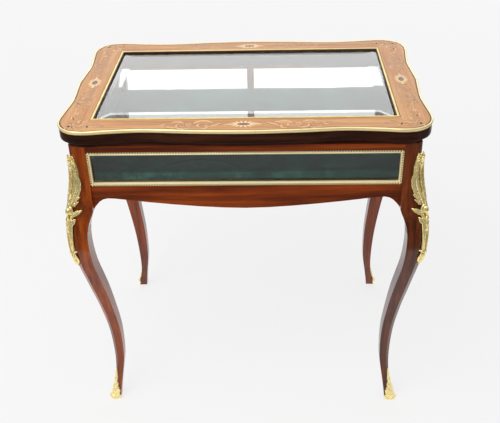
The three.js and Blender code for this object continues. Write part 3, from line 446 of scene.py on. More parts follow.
def velvet():
    """Green velvet: short pile that lies in clouds of nap, with painted shade on its top towards the sides
    and the front, where the rails of the case shade it.
    """
    n = Nodes("green_velvet")
    where = n.where()
    nap = n.noise(where, 13.0, 3.0, 0.55, 0.8)
    cloud = n.noise(where, 46.0, 4.0, 0.6, 0.6)
    pile = n.noise(where, 1500.0, 3.0, 0.7)
    share = n.total((nap, 0.5), (cloud, 0.3), (pile, 0.2))
    colour = n.ramp(share, [(0.36, srgb(14, 34, 28)), (0.5, srgb(30, 65, 54)), (0.64, srgb(58, 106, 91))])
    x, y, z = n.parts(where)
    # Painted shade: the top of the velvet darkens towards the walls and the front, for the shade under the
    # rails.
    beside = n.math("SUBTRACT", n.math("ABSOLUTE", x), SHADE_ASIDE)
    before = n.math("SUBTRACT", n.math("MULTIPLY", y, -1.0), SHADE_BEFORE)
    wall_shade = n.span(n.math("MAXIMUM", beside, before), 0.0, 0.08, 0.0, 0.75)
    colour = n.mix(n.math("MULTIPLY", wall_shade, n.span(z, SHADE_LOW, SHADE_HIGH)), colour, srgb(10, 22, 18))
    n.to(Base_Color=colour, Roughness=0.92, Sheen_Weight=0.12, Sheen_Roughness=0.42,
         Sheen_Tint=(0.62, 0.82, 0.76, 1.0), Specular_IOR_Level=0.12)
    n.bump(n.total((pile, 0.7), (cloud, 0.2)), 0.35, 0.0005)
    return n.material


clear_glass = glass()
green_velvet = velvet()


# Camera, floor and light

CAMERA_PLACE, CAMERA_LENS = (0.07005, -1.61307, 1.43783), 54.88
CAMERA_YAW, CAMERA_PITCH, CAMERA_ROLL = -0.0444, 0.5681, -0.0299
BACKDROP, SHEET_END, SKY_LIGHT = 0.93, 0.04, 0.6


def add_camera():
    """The photograph's own view of the table, from a fit to its bezel, panes and feet."""
    data = bpy.data.cameras.new("camera")
    data.sensor_fit, data.sensor_width = "HORIZONTAL", 36.0
    data.lens, data.clip_end = CAMERA_LENS, 200.0
    camera = link(bpy.data.objects.new("camera", data))
    across, onward = math.sin(CAMERA_YAW), math.cos(CAMERA_YAW)
    flat = math.cos(CAMERA_PITCH)
    ahead = Vector((across * flat, onward * flat, -math.sin(CAMERA_PITCH)))
    level = Vector((onward, -across, 0))
    up = level.cross(ahead)
    right = math.cos(CAMERA_ROLL) * level + math.sin(CAMERA_ROLL) * up
    above = -math.sin(CAMERA_ROLL) * level + math.cos(CAMERA_ROLL) * up
    turn = Matrix((right, above, -ahead)).transposed().to_4x4()
    camera.matrix_world = Matrix.Translation(CAMERA_PLACE) @ turn
    scene.camera = camera


def add_floor():
    """A pale floor that keeps a soft shadow near the table and runs into the backdrop further out.
    Polish and brass find it a white sheet that ends in front of the table and at its sides."""
    bpy.ops.mesh.primitive_circle_add(vertices=96, radius=60, fill_type="NGON")
    floor = bpy.context.object
    floor.name = "floor"
    n = Nodes("floor")
    coords = n.add("ShaderNodeTexCoord").outputs["Object"]
    far = n.add("ShaderNodeVectorMath", {0: coords}, operation="LENGTH").outputs["Value"]
    path = n.add("ShaderNodeLightPath").outputs
    x, y, _ = n.parts(coords)
    aside = n.math("MULTIPLY", n.math("ABSOLUTE", x), 0.6)
    before = n.math("MULTIPLY", y, -1.0)
    edge = n.span(n.math("MAXIMUM", aside, before), 0.84, 0.94, BACKDROP, SHEET_END)
    mirrored = n.math("SUBTRACT", path["Is Glossy Ray"], path["Is Transmission Ray"], True)
    share = n.math("MULTIPLY", n.span(far, 0.9, 3.2, 0.2, 0.0), n.math("SUBTRACT", 1.0, mirrored))
    lit = n.add("ShaderNodeBsdfDiffuse", {"Color": (0.93, 0.93, 0.93, 1.0)})
    flat = n.add("ShaderNodeEmission", {"Color": WHITE, "Strength": n.choose(mirrored, BACKDROP, edge)})
    n.cover(share, flat, lit)
    floor.data.materials.append(n.material)


def add_world():
    """White behind the table, even light on it, and in its polish a sky that is dark low down in front."""
    world = bpy.data.worlds.new("studio")
    scene.world = world
    world.use_nodes = True
    back = world.node_tree.nodes["Background"]
    n = Nodes("studio", world.node_tree)
    path = n.add("ShaderNodeLightPath").outputs
    _, y, z = n.parts(n.add("ShaderNodeTexCoord").outputs["Generated"])
    high = n.add("ShaderNodeMath", {0: y, 1: 0.35, 2: z}, operation="MULTIPLY_ADD").outputs[0]
    strength = n.choose(path["Is Glossy Ray"], SKY_LIGHT, n.span(high, -0.1, 0.5, 0.3, 1.0))
    seen = n.math("MAXIMUM", path["Is Camera Ray"], path["Is Transmission Ray"])
    n.set(back.inputs["Strength"], n.choose(seen, strength, BACKDROP))
    back.inputs["Color"].default_value = WHITE


def add_lamp(name, place, target, width, height, power):
    data = bpy.data.lights.new(name, "AREA")
    data.shape = "RECTANGLE"
    data.size, data.size_y, data.energy = width, height, power
    lamp = link(bpy.data.objects.new(name, data))
    lamp.location = place
    lamp.rotation_euler = (Vector(target) - Vector(place)).to_track_quat("-Z", "Y").to_euler()
    lamp.visible_camera = False
    return lamp


add_camera()
add_floor()
add_world()
add_lamp("lamp_behind", (0.0, 3.1, 2.15), (0.0, 0.0, 0.75), 3.6, 1.8, 23.0)
add_lamp("lamp_above", (-1.1, -1.4, 2.9), (0.0, 0.0, 0.6), 2.6, 2.0, 40.0)
add_lamp("lamp_front", (-1.3, -2.9, 1.9), (0.0, 0.0, 0.5), 2.2, 1.6, 24.0)
scene.view_settings.view_transform = "Standard"


# Lid

def outline_points():
    quarter = [(x * HALF_X, -y * HALF_Y) for x, y in OUTLINE]
    behind = [(x, -y) for x, y in quarter[:-1][::-1]]
    right = quarter + behind
    left = [(-x, y) for x, y in right[1:-1][::-1]]
    return right + left


OUTLINE_POINTS = outline_points()
FINE = 8 * len(OUTLINE_POINTS)


def outline_at(share):
    """Point and outward direction at a share of the way round the lid."""
    here, along = heading(OUTLINE_POINTS, share * len(OUTLINE_POINTS), True, 0.01)
    return here, np.array([along[1], -along[0]])


outline = [outline_at(i / FINE) for i in range(FINE)]


def offset_line(inset):
    return np.array([p - out * inset for p, out in outline])


SEAT_X, SEAT_Y = BEZEL_X - GLASS_REBATE, BEZEL_Y - GLASS_REBATE
SIGHT_X, SIGHT_Y = SEAT_X - GLASS_LIP, SEAT_Y - GLASS_LIP


def turned(x, y, turns):
    for _ in range(turns):
        x, y = -y, x
    return x, y


def facing(x, y, turns):
    """Half sizes with the side that is turned to the front across."""
    return (y, x) if turns % 2 else (x, y)


def rail_line(inset, turns, count):
    """The part of an offset outline that belongs to one rail, cut at its mitres, as seen from the front."""
    line = np.array([turned(x, y, (4 - turns) % 4) for x, y in offset_line(inset)])
    ax, ay = facing(SIGHT_X, SIGHT_Y, turns)
    gap = FIT / ROOT2
    side = np.minimum(-line[:, 1] - ay - (line[:, 0] - ax) - gap, -line[:, 1] - ay + (line[:, 0] + ax) - gap)
    inside = side > 0
    start = next(i for i in range(len(line)) if inside[i] and not inside[i - 1])
    total = int(inside.sum())
    run = [line[(start + i) % len(line)] for i in range(total)]

    def crossing(a, b):
        before, after = side[a % len(line)], side[b % len(line)]
        share = before / (before - after)
        return line[a % len(line)] * (1 - share) + line[b % len(line)] * share
    run = [crossing(start - 1, start)] + run + [crossing(start + total - 1, start + total)]
    run = np.array(run)
    run = run if run[0][0] < run[-1][0] else run[::-1]
    steps = np.concatenate([[0], np.cumsum(np.linalg.norm(np.diff(run, axis=0), axis=1))])
    at = np.linspace(0, steps[-1], count)
    return np.stack([np.interp(at, steps, run[:, 0]), np.interp(at, steps, run[:, 1])], 1)


def straight_line(half_x, half_y, turns, count):
    """A line along one rail, parallel to the glass and cut at the rail's mitres."""
    out = facing(half_x, half_y, turns)[1]
    across, deep = facing(SIGHT_X, SIGHT_Y, turns)
    end = across + (out - deep) - FIT / ROOT2
    return np.stack([np.linspace(-end, end, count), np.full(count, -out)], 1)


def lid_rail(name, turns):
    """One rail of the lid: moulded edge, flat veneered top, dark stringing and the glass rebate."""
    count = 150 if turns % 2 == 0 else 110

    def curved(inset):
        return rail_line(inset, turns, count)

    def straight(half_x, half_y, more=0.0):
        return straight_line(half_x + more, half_y + more, turns, count)
    edging, step = EDGING_DEPTH + FIT, WOOD_TOP - EDGING_HEIGHT
    lines = [(straight(SIGHT_X, SIGHT_Y), LID_BOTTOM, 0), (curved(FRIEZE_INSET), LID_BOTTOM, 0),
             (curved(FRIEZE_INSET), LID_BOTTOM + FRIEZE_HEIGHT, 0),
             (curved(OVOLO_INSET), LID_BOTTOM + OVOLO_HEIGHT, 0)]
    ovolo = arc(MOULDING_INSET, LID_BOTTOM + MOULDING_ROUND, MOULDING_TOP_INSET - MOULDING_INSET,
                -MOULDING_ROUND, OVOLO_ARC, 0, 5)
    lines += [(curved(inset), z, 0) for inset, z in ovolo]
    lines += [(curved(MOULDING_TOP_INSET), step, 0), (curved(edging), step, 0), (curved(edging), WOOD_TOP, 2),
              (curved(EDGING_DEPTH + STRINGING), WOOD_TOP, 1),
              (curved(EDGING_DEPTH + VENEER_LAP), WOOD_TOP, 1),
              (straight(BEZEL_X, BEZEL_Y, BEZEL_LINE_OUT), WOOD_TOP, 2),
              (straight(BEZEL_X, BEZEL_Y, -BEZEL_LINE_IN), WOOD_TOP, 0),
              (straight(SEAT_X, SEAT_Y), WOOD_TOP, 0), (straight(SEAT_X, SEAT_Y), GLASS_SEAT, 0),
              (straight(SIGHT_X, SIGHT_Y), GLASS_SEAT, 0)]
    rings = [[(*turned(*line[i], turns), z) for line, z, _ in lines] for i in range(count)]
    verts, faces, bands = skin(rings)
    along = turns % 2
    rail = make(name, verts, faces, [moulding[along], veneer[along], string_dark],
                [lines[band][2] if band >= 0 else 0 for band in bands], 28)
    if turns == 2:
        cut_for_hinges(rail)
    settle(rail, "lid", name.replace("lid_frame", "lid_rail"))


def box_mesh(x0, x1, y0, y1, z0, z1):
    verts = [(x, y, z) for z in (z0, z1) for y in (y0, y1) for x in (x0, x1)]
    return verts, [(0, 1, 3, 2), (4, 6, 7, 5), (0, 4, 5, 1), (1, 5, 7, 3), (3, 7, 6, 2), (2, 6, 4, 0)]


def cut_for_hinges(rail):
    """The beds of the two hinges in the back rail, and room for their knuckles and screws."""
    half, room = HINGE_LENGTH / 2 + FIT, KNUCKLE + HINGE_ROOM
    wide, low = half + OVERRUN, LID_BOTTOM - OVERRUN
    parts = []
    for x in (-HINGE_X, HINGE_X):
        parts.append(box_mesh(x - half, x + half, CASE_Y - LEAF_REACH, CASE_Y + OVERRUN,
                              low, LID_BOTTOM + LEAF))
        parts.append(box_mesh(x - wide, x + wide, AXIS_Y - room, HALF_Y + 3, low - 0.1, AXIS_Z + room))
        for screw in (x - SCREW_X, x + SCREW_X):
            parts.append(box_mesh(screw - SCREW_ROOM, screw + SCREW_ROOM, CASE_Y - SCREW_Y - 4,
                                  CASE_Y - SCREW_Y + 4, LID_BOTTOM + 1, LID_BOTTOM + 14))
    for i, (verts, faces) in enumerate(parts):
        cutter = make("cutter_%d" % i, verts, faces, [])
        modify(rail, "BOOLEAN", operation="DIFFERENCE", solver="EXACT", object=cutter)
        evaluated(rail)
        bpy.data.objects.remove(cutter)


def edging_length(name, start, end):
    """One length of the half-round brass edging, with a hair of a joint at each end."""
    between = range(math.floor(start * FINE) + 1, math.ceil(end * FINE))
    places = [start] + [i / FINE for i in between] + [end]
    step = WOOD_TOP - EDGING_HEIGHT
    middle, centre = 0.55 * EDGING_DEPTH, step + 4.4
    rise = WOOD_TOP + EDGING_PROUD - centre
    section = [(EDGING_DEPTH, step), (EDGING_DEPTH, WOOD_TOP),
               (0.8 * EDGING_DEPTH, WOOD_TOP + 0.75 * EDGING_PROUD)]
    section += arc(middle, centre, -middle, rise, 90, -62, 15) + [(0.3 * EDGING_DEPTH, step)]
    rings = []
    for i, place in enumerate(places):
        point, out = outline_at(place)
        along = np.array([-out[1], out[0]])
        shift = (FIT / 2 if i == 0 else 0) - (FIT / 2 if i == len(places) - 1 else 0)
        point = point + along * shift
        rings.append([(point[0] - out[0] * d, point[1] - out[1] * d, z) for d, z in section])
    verts, faces, _ = skin(rings)
    settle(make("brass_" + name, verts, faces, [pale_gilt], angle=40), "lid", "lid_" + name)


def pearl_row(start, end, across, up, radius, pitch, sides=8):
    """Half-round pearls in a line from start to end, each sunk a little in what carries it."""
    length = np.linalg.norm(end - start)
    count = max(1, int(round(length / pitch)))
    along = (end - start) / length
    parts = []
    for i in range(count):
        centre = start + along * (i + 0.5) * length / count
        verts, faces = [], []
        for wide, high in ((1.0, -0.25), (0.93, 0.35), (0.62, 0.78)):
            for k in range(sides):
                a = 2 * math.pi * k / sides
                verts.append(centre + radius * wide * (math.cos(a) * along + math.sin(a) * across)
                             + radius * high * up)
        verts.append(centre + radius * up)
        for k in range(sides):
            m = (k + 1) % sides
            faces += [(k, m, sides + m, sides + k), (sides + k, sides + m, 2 * sides + m, 2 * sides + k),
                      (2 * sides + k, 2 * sides + m, 3 * sides)]
        parts.append((verts, faces))
    return merge(parts)


def moulded_frame(section, ground, u1, u0, v0, v1, put, pearls):
    """A mitred frame with pearls on the ground along its outer part. The bands listed in ground take the
    second material, which here is painted shade. Returns each face's material slot too.
    The section's points lie in from the outer edge."""
    corners = [(u0, v0, 1, 1), (u1, v0, -1, 1), (u1, v1, -1, -1), (u0, v1, 1, -1)]
    rings = []
    for cu, cv, iu, iv in corners:
        rings.append([put(cu + iu * inset, cv + iv * inset, level) for inset, level in section])
    verts, faces, bands = skin(rings, loop=True)
    parts = [(verts, faces)]
    slots = [1 if band in ground else 0 for band in bands]
    inset, level, radius, pitch = pearls
    for (cu, cv, iu, iv), (du, dv, ju, jv) in zip(corners, corners[1:] + corners[:1]):
        a = np.array([cu + iu * inset, cv + iv * inset])
        b = np.array([du + ju * inset, dv + jv * inset])
        start, end = np.array(put(a[0], a[1], level)), np.array(put(b[0], b[1], level))
        up = np.array(put(a[0], a[1], level + 1)) - start
        along = (end - start) / np.linalg.norm(end - start)
        parts.append(pearl_row(start, end, np.cross(up, along), up, radius, pitch))
    verts, faces = merge(parts)
    return verts, faces, slots + [0] * (len(faces) - len(slots))


def add_lid():
    for name, turns in (("front", 0), ("right", 1), ("back", 2), ("left", 3)):
        lid_rail("lid_frame_" + name, turns)
    for (name, start), (_, end) in zip(EDGING_JOINTS, EDGING_JOINTS[1:]):
        edging_length("edging_" + name, start, end)
    over = GLASS_SEAT + GLASS_EDGE + (GLASS_THICKNESS - GLASS_EDGE) * BEZEL_WIDTH / GLASS_BEVEL + FIT
    section = [(BEZEL_LEG, WOOD_TOP), (0, WOOD_TOP), (0.1, WOOD_TOP + 0.2)]
    section += arc(2.7, WOOD_TOP + 0.1, 2.3, 1.3, 165, 15, 9)
    section += [(5.2, WOOD_TOP - 0.2), (BEZEL_WIDTH, WOOD_TOP - 0.5), (BEZEL_WIDTH, over), (BEZEL_LEG, over)]
    # Bands 11 to 13, the bezel's inner side, carry the painted shade.
    verts, faces, slots = moulded_frame(section, (11, 12, 13), BEZEL_X, -BEZEL_X, -BEZEL_Y, BEZEL_Y,
                                        lambda u, v, w: (u, v, w), BEZEL_PEARLS)
    bezel = make("bezel_beaded", verts, faces, [bezel_gilt, gilt_shade], slots, 50)
    settle(bezel, "lid", "lid_bezel")


def add_bead_frames():
    inner, inner_y, half = CASE_X - LEG_BLOCK, CASE_Y - LEG_BLOCK, POST_NECK / 2
    openings = [("front", 0, -inner, inner, CASE_Y), ("right", 1, -inner_y, inner_y, CASE_X),
                ("left", 3, -inner_y, inner_y, CASE_X), ("back_right", 2, -inner, -half, CASE_Y),
                ("back_left", 2, half, inner, CASE_Y)]
    back = PANE - REBATE
    section = [(BEAD_WIDTH, back), (0, back), (0, -0.3), (3.8, -0.3)]
    section += arc(5.4, -0.5, 1.5, 1.6, 150, 15, 8) + [(BEAD_WIDTH, -0.8)]
    for name, turns, u0, u1, reach in openings:
        def put(u, v, w, turns=turns, reach=reach):
            x, y = turned(u, -w - reach, turns)
            return (x, y, v)
        # Bands 1 and 2, the outer edge and the ground under the pearls, carry the painted shade.
        verts, faces, slots = moulded_frame(section, (1, 2), u1, u0, OPENING_BOTTOM, OPENING_TOP - FIT, put,
                                            BEAD_PEARLS)
        piece = make("beading_" + name, verts, faces, [bead_gilt, gilt_shade], slots, 50)
        settle(piece, "case", "bead_frame_" + name)


# Marquetry

SHEET, RIM_WIDTH = 0.04, 0.35
LEAF_SHAPE = (0.2, 0.75, 1.0, 0.9, 0.55, 0.04)


class Inlay:
    """Thin woods let into the lid, each a closed slip that stands a hair above the veneer."""

    def __init__(self, put):
        self.put = put
        self.slips, self.tones = [], []

    def slip(self, left, right, tone, level):
        low, high = WOOD_TOP - 0.3, WOOD_TOP + SHEET * level
        left, right = [self.put(*p) for p in left], [self.put(*p) for p in right]
        rings = [[(*a, low), (*a, high), (*b, high), (*b, low)] for a, b in zip(left, right)]
        verts, faces, _ = skin(rings)
        self.slips.append((verts, faces))
        self.tones += [tone] * len(faces)

    def leaf(self, points, width, tones, level=2, lobes=0, bite=0.4, shape=LEAF_SHAPE, steps=22):
        """A leaf along a line: two halves of different woods in a thin dark rim."""
        rows = []
        for i in range(steps + 1):
            t = i / steps
            here, way = heading(points, t * (len(points) - 1))
            wide = width * np.interp(t, np.linspace(0, 1, len(shape)), shape)
            if lobes:
                wide *= 1 - bite * (1 - abs(math.sin(math.pi * lobes * t)) ** 0.5)
            rows.append((here, np.array([-way[1], way[0]]), wide))
        line = lambda share, more: [h + n * (w * share + more) for h, n, w in rows]
        self.slip(line(-1, -RIM_WIDTH), line(1, RIM_WIDTH), RIM, level - 1)
        self.slip(line(-1, 0), line(0, 0), tones[0], level)
        self.slip(line(0, 0), line(1, 0), tones[-1], level)

    def disc(self, centre, half_u, half_v, tone, level, count=20):
        angles = [math.pi * i / count for i in range(count + 1)]
        at = lambda a: (centre[0] + half_u * math.cos(a), centre[1] + half_v * math.sin(a))
        self.slip([at(a) for a in angles], [at(-a) for a in angles], tone, level)

    def flower(self, centre, radius, petals, tones, turn=0.0):
        for k in range(petals):
            a = turn + 2 * math.pi * k / petals
            ray = np.array([math.cos(a), math.sin(a)])
            self.leaf([np.array(centre) + ray * r for r in (radius * 0.2, radius * 0.6, radius)],
                      radius * 0.42, tones, 3, shape=(0.3, 0.8, 1.0, 0.9, 0.5), steps=8)
        self.disc(centre, radius * 0.28, radius * 0.28, BROWN, 5, 10)

    def daisy(self, half_u, half_v, reach_u, reach_v, point):
        """The large oval daisy in the middle of a side, with a long point each way along it."""
        for way in (1, -1):
            self.leaf([(way * reach_u * 0.6, 0), (way * reach_u, 0.4), (way * point, 0)], 2.6,
                      (PALE_WOOD, GOLD), 3)
        count = 16
        for k in range(count):
            a = 2 * math.pi * (k + 0.5) / count
            ray = lambda u, v: (u * math.cos(a), v * math.sin(a))
            span = math.hypot(reach_u * math.sin(a), reach_v * math.cos(a)) * math.pi / count
            self.leaf([ray(half_u * 0.9, half_v * 0.9), ray((half_u + reach_u) / 2, (half_v + reach_v) / 2),
                       ray(reach_u, reach_v)], span * 0.42, (PALE_WOOD, PALE_WOOD), 4,
                      shape=(0.6, 0.9, 1.0, 0.9, 0.6, 0.2), steps=10)
        self.disc((0, 0), half_u + 0.5, half_v + 0.5, RIM, 5)
        self.disc((0, 0), half_u, half_v, HEART, 6)

    def scroll(self, way, reach, light):
        """Half a side's foliage: a waved stem that ends in a volute, with acanthus leaves on it."""
        at = lambda rows: [(way * u * reach / 190.0, v) for u, v in rows]
        stem = [(40, -3), (56, -9), (74, -6), (90, 5), (106, 13), (124, 13), (137, 4), (136, -7), (125, -11),
                (116, -6), (118, 1), (124, 2)]
        self.leaf(at(stem), 1.5, (GREEN, BROWN), 2, shape=(0.7, 1, 1, 1, 0.8, 0.6), steps=60)
        self.leaf(at([(128, 14), (146, 15), (163, 6), (176, -3), (193, -3)]), 1.2, (GREEN, BROWN), 2,
                  shape=(0.8, 1, 1, 0.8, 0.4), steps=30)
        for rows, wide, tones, lobes in (
                ([(52, -8), (62, -1), (72, 4), (84, 14)], 4.6, (light, BROWN), 4),
                ([(70, -7), (82, -13), (96, -15), (110, -9), (112, -2)], 4.8, (GREEN, light), 5),
                ([(88, 3), (84, 11), (90, 18), (102, 19)], 3.8, (light, GREEN), 4),
                ([(100, 11), (104, 3), (101, -3)], 3.4, (light, GREEN), 3),
                ([(122, 13), (134, 18), (148, 14), (152, 4), (146, -3)], 4.6, (light, BROWN), 5),
                ([(136, -6), (146, -13), (160, -13), (169, -6)], 4.2, (light, GREEN), 4),
                ([(150, 12), (160, 16), (172, 14), (180, 8)], 3.8, (BROWN, light), 4),
                ([(166, 4), (160, -2), (164, -9)], 2.8, (GREEN, BROWN), 3),
                ([(182, -4), (188, 2), (198, 4)], 2.6, (light, GREEN), 3),
                ([(186, -3), (194, -7), (206, -5)], 2.4, (GREEN, BROWN), 3),
                ([(42, -3), (36, -9), (28, -12)], 2.2, (GREEN, BROWN), 2),
                ([(44, -2), (40, 6), (32, 11)], 2.2, (BROWN, light), 2)):
            self.leaf(at(rows), wide, tones, 3, lobes)
        self.flower(at([(126, 1)])[0], 6.0, 6, (light, RED))

    def spray(self, reach_u, reach_v):
        """Flowers and leaves that fill a corner, one twig along each side."""
        stems = [[(0, 0), (-22, 3), (-44, -4), (-66, 0)], [(0, 0), (3, -20), (-3, -40), (1, -60)],
                 [(0, 0), (-11, -11), (-24, -18)]]
        at = lambda rows: [(u * reach_u / 66.0, v * reach_v / 60.0) for u, v in rows]
        for stem in stems:
            self.leaf(at(stem), 1.1, (GREEN, BROWN), 2, shape=(1, 0.9, 0.7, 0.5), steps=24)
        for rows, tones in (
                ([(-10, 2), (-16, 9), (-26, 11)], (GREEN, BROWN)),
                ([(-18, 3), (-25, -4), (-35, -7)], (BROWN, GOLD)),
                ([(-34, -1), (-40, 6), (-50, 8)], (GOLD, GREEN)),
                ([(-46, -4), (-53, -10), (-62, -9)], (GREEN, BROWN)),
                ([(2, -10), (9, -16), (11, -25)], (BROWN, GREEN)),
                ([(2, -20), (-5, -25), (-8, -34)], (GREEN, BROWN)),
                ([(-1, -34), (6, -39), (8, -49)], (BROWN, GOLD)),
                ([(-2, -44), (-8, -49), (-9, -58)], (GREEN, BROWN)),
                ([(2, 2), (8, 7), (9, 14)], (GOLD, GREEN)), ([(2, 0), (10, 2), (15, -3)], (BROWN, GREEN)),
                ([(-4, 3), (-5, 11), (-12, 16)], (GREEN, BROWN)),
                ([(-14, -14), (-12, -24), (-18, -30)], (GOLD, GREEN))):
            self.leaf(at(rows), 3.0, tones, 3, 3, 0.25, steps=14)
        for centre, radius, petals, tones in (
                ((-2, -1), 8.0, 6, (GOLD, RED)), ((-28, -20), 6.5, 5, (RED, GOLD)),
                ((-68, 0), 5.0, 5, (RED, BROWN)), ((1, -62), 5.0, 5, (PALE_WOOD, RED)),
                ((-38, 3), 4.0, 5, (PALE_WOOD, GOLD)), ((0, -36), 4.0, 5, (RED, GOLD))):
            self.flower(at([centre])[0], radius, petals, tones, 0.4)

    def finish(self, name):
        verts, faces = merge(self.slips)
        settle(make(name, verts, faces, TONES, self.tones, 30), "lid")


CORNERS = (("back_right", 1, 1), ("back_left", -1, 1), ("front_right", 1, -1), ("front_left", -1, -1))


def add_marquetry():
    long_side, short_side = (BAND_Y, 168, (13, 4.6, 29, 14.5, 42)), (BAND_X, 142, (11, 5.8, 26, 16, 36))
    for turns, name in enumerate(("front", "right", "back", "left")):
        middle, reach, daisy = short_side if turns % 2 else long_side
        side = Inlay(lambda u, v: turned(u, -middle - v, turns))
        side.daisy(*daisy)
        for way in (1, -1):
            side.scroll(way, reach, GOLD if turns == 0 else GREEN)
        side.finish("inlay_" + name)
    back, front = CORNERS[:2], CORNERS[2:]
    for name, sx, sy in front + back:
        corner = Inlay(lambda u, v: (sx * (CORNER_X + u), sy * (CORNER_Y + v)))
        corner.spray(62, 58)
        corner.finish("inlay_" + name)


# Velvet pad

def pad_outline(shrink):
    """The pad's outline: a rectangle with its corners cut away round the legs."""
    wall, notch = RAIL + PAD_GAP + shrink, LEG_BLOCK + PAD_GAP + shrink
    x1, y1, x0, y0 = CASE_X - wall, CASE_Y - wall, CASE_X - notch, CASE_Y - notch
    turn = arc(0, 0, PAD_CORNER, PAD_CORNER, -90, 0, 5)
    quarter = [(x0 - PAD_CORNER + u, -y1 + PAD_CORNER + v) for u, v in turn] + [(x0, -y0)]
    quarter += [(x1 - PAD_CORNER + u, -y0 + PAD_CORNER + v) for u, v in turn]
    half = quarter + [(x, -y) for x, y in quarter[::-1]]
    return half + [(-x, y) for x, y in half[::-1]]


# Faint rings in the nap, each with its centre and radius.
RING_MARKS = ((10, -150, 34), (118, -118, 26), (-190, -60, 38), (215, 30, 30), (60, 70, 40))


def add_pad():
    """The velvet-covered board: a padded slab, blown up a little as cloth, with soft marks of use."""
    ring = pad_outline(0.5)
    bottom = BOARD_TOP + FIT
    rings = [[(x * (1 - inset / CASE_X), y * (1 - inset / CASE_Y), bottom + rise) for x, y in ring]
             for inset, rise in ((1.2, 0), (0, 1.2), (0.4, 12), (0, 19), (1.4, 23.2), (4.6, PAD_THICK))]
    verts, faces, _ = skin(rings)
    pad = make("velvet_pad_cover", verts, faces, [green_velvet], angle=180)
    modify(pad, "REMESH", mode="VOXEL", voxel_size=0.006)
    evaluated(pad)
    start = points_of(pad.data)
    cloth = modify(pad, "CLOTH").settings
    cloth.use_pressure, cloth.uniform_pressure_force, cloth.quality = True, 4.0, 4
    cloth.effector_weights.gravity = 0.0
    for step in range(CLOTH_STEPS):
        scene.frame_set(step + 1)
    evaluated(pad)
    scene.frame_set(1)
    move = points_of(pad.data) - start
    move[:, :2] = np.clip(move[:, :2], -PAD_SHIFT * MM, PAD_SHIFT * MM)
    upward = start[:, 2] > (bottom + 14) * MM
    move[:, 2] = np.where(upward, np.clip(move[:, 2], 0, PAD_PUFF * MM), 0)
    set_points(pad.data, start + move)
    modify(pad, "SUBSURF", levels=1, render_levels=1)
    evaluated(pad)
    co = points_of(pad.data)
    x, y, z = co.T / MM
    top = np.clip((z - (bottom + 12)) / 10.0, 0, 1)
    wave = 0.5 * np.sin(x * 0.021 + 1.1) * np.sin(y * 0.034 + 0.4) + 0.3 * np.sin(x * 0.055 + y * 0.03)
    arc = np.hypot((x + 95) / 78, (y + 212) / 46) - 1
    crease = -1.1 * np.exp(-(arc * 16) ** 2) * (y > -212) + 0.7 * np.exp(-((arc - 0.12) * 14) ** 2)
    marks = 0
    for cx, cy, r in RING_MARKS:
        ring_at = np.hypot(x - cx, y - cy) - r
        marks = marks - 0.5 * np.exp(-(ring_at / 2.6) ** 2)
    co[:, 2] += (wave + crease + marks - 0.4) * top * MM
    set_points(pad.data, co)
    smooth(pad.data)
    pad.data.update()
    settle(pad, "case", "velvet_pad")


# Gilt mounts

def leg_rows():
    """Height, outer corner, cant and inner corner of the leg at each of its steps, lowest first."""
    high, low = CASE_TOP - APRON_LOWEST, APRON_LOWEST - SABOT_SOLE
    rows = [(o * LEG_SWING, LEG_BLOCK, APRON_LOWEST + h * high) for h, o in LEG_TOP]
    rows += [(o * LEG_SWING, i * LEG_BLOCK, SABOT_SOLE + h * low) for h, o, i in LEG_CURVE]
    found = []
    for k in range(LEG_STEPS + 1):
        out, inner, z = curve_at(rows, (len(rows) - 1) * k / LEG_STEPS, False)
        share = max(0.0, 1 - z / APRON_LOWEST)
        right, back = FOOT_DRIFT_X * share, FOOT_DRIFT_Y * share
        inner = LEG_BLOCK if z >= APRON_LOWEST - FIT else inner
        found.append((z, CASE_X + out + right, CASE_Y + out + back, CANT_SHARE * (out + inner),
                      CASE_X - inner + right, CASE_Y - inner + back))
    return np.array(found[::-1])


LEG_ROWS = leg_rows()


def leg_at(z, column):
    return np.interp(z, LEG_ROWS[:, 0], LEG_ROWS[:, column])


def fall(over):
    """How far the surface falls away at a distance beyond the edge of the cant, rounded at the edge."""
    return (np.sqrt(over * over + 3) + over) / 2


def on_leg(points, bent=True):
    """Places (s, z, h) points on the canted corner of a leg: s runs across it and wraps round the faces
    beside it, and h goes out from it."""
    s, z, h = np.asarray(points, float).T
    cant = leg_at(z, 3)
    over = np.abs(s) - cant / ROOT2
    n = h - fall(over) if bent else h
    x, y = leg_at(z, 1) - cant / 2, leg_at(z, 2) - cant / 2
    return np.stack([x + (n - s) / ROOT2, y + (n + s) / ROOT2, z], 1)


def frame_on(path, share):
    """Point, sideways and outward directions of a path at a share of its length in segments."""
    here, along = heading(path, share * (len(path) - 1))
    side = np.cross(along, (0, 0, 1))
    side = side / max(1e-9, np.linalg.norm(side))
    return here, side, np.cross(side, along)


def tube(path, radii, steps=20, sides=10, flat=1.0):
    """A round or flattened stem along a path, its radius taken evenly from a list."""
    rings = []
    for i in range(steps + 1):
        here, side, up = frame_on(path, i / steps)
        r = np.interp(i / steps, np.linspace(0, 1, len(radii)), radii)
        rings.append([here + r * (math.cos(a) * side + flat * math.sin(a) * up)
                      for a in np.linspace(0, 2 * math.pi, sides, endpoint=False)])
    return skin(rings)[:2]


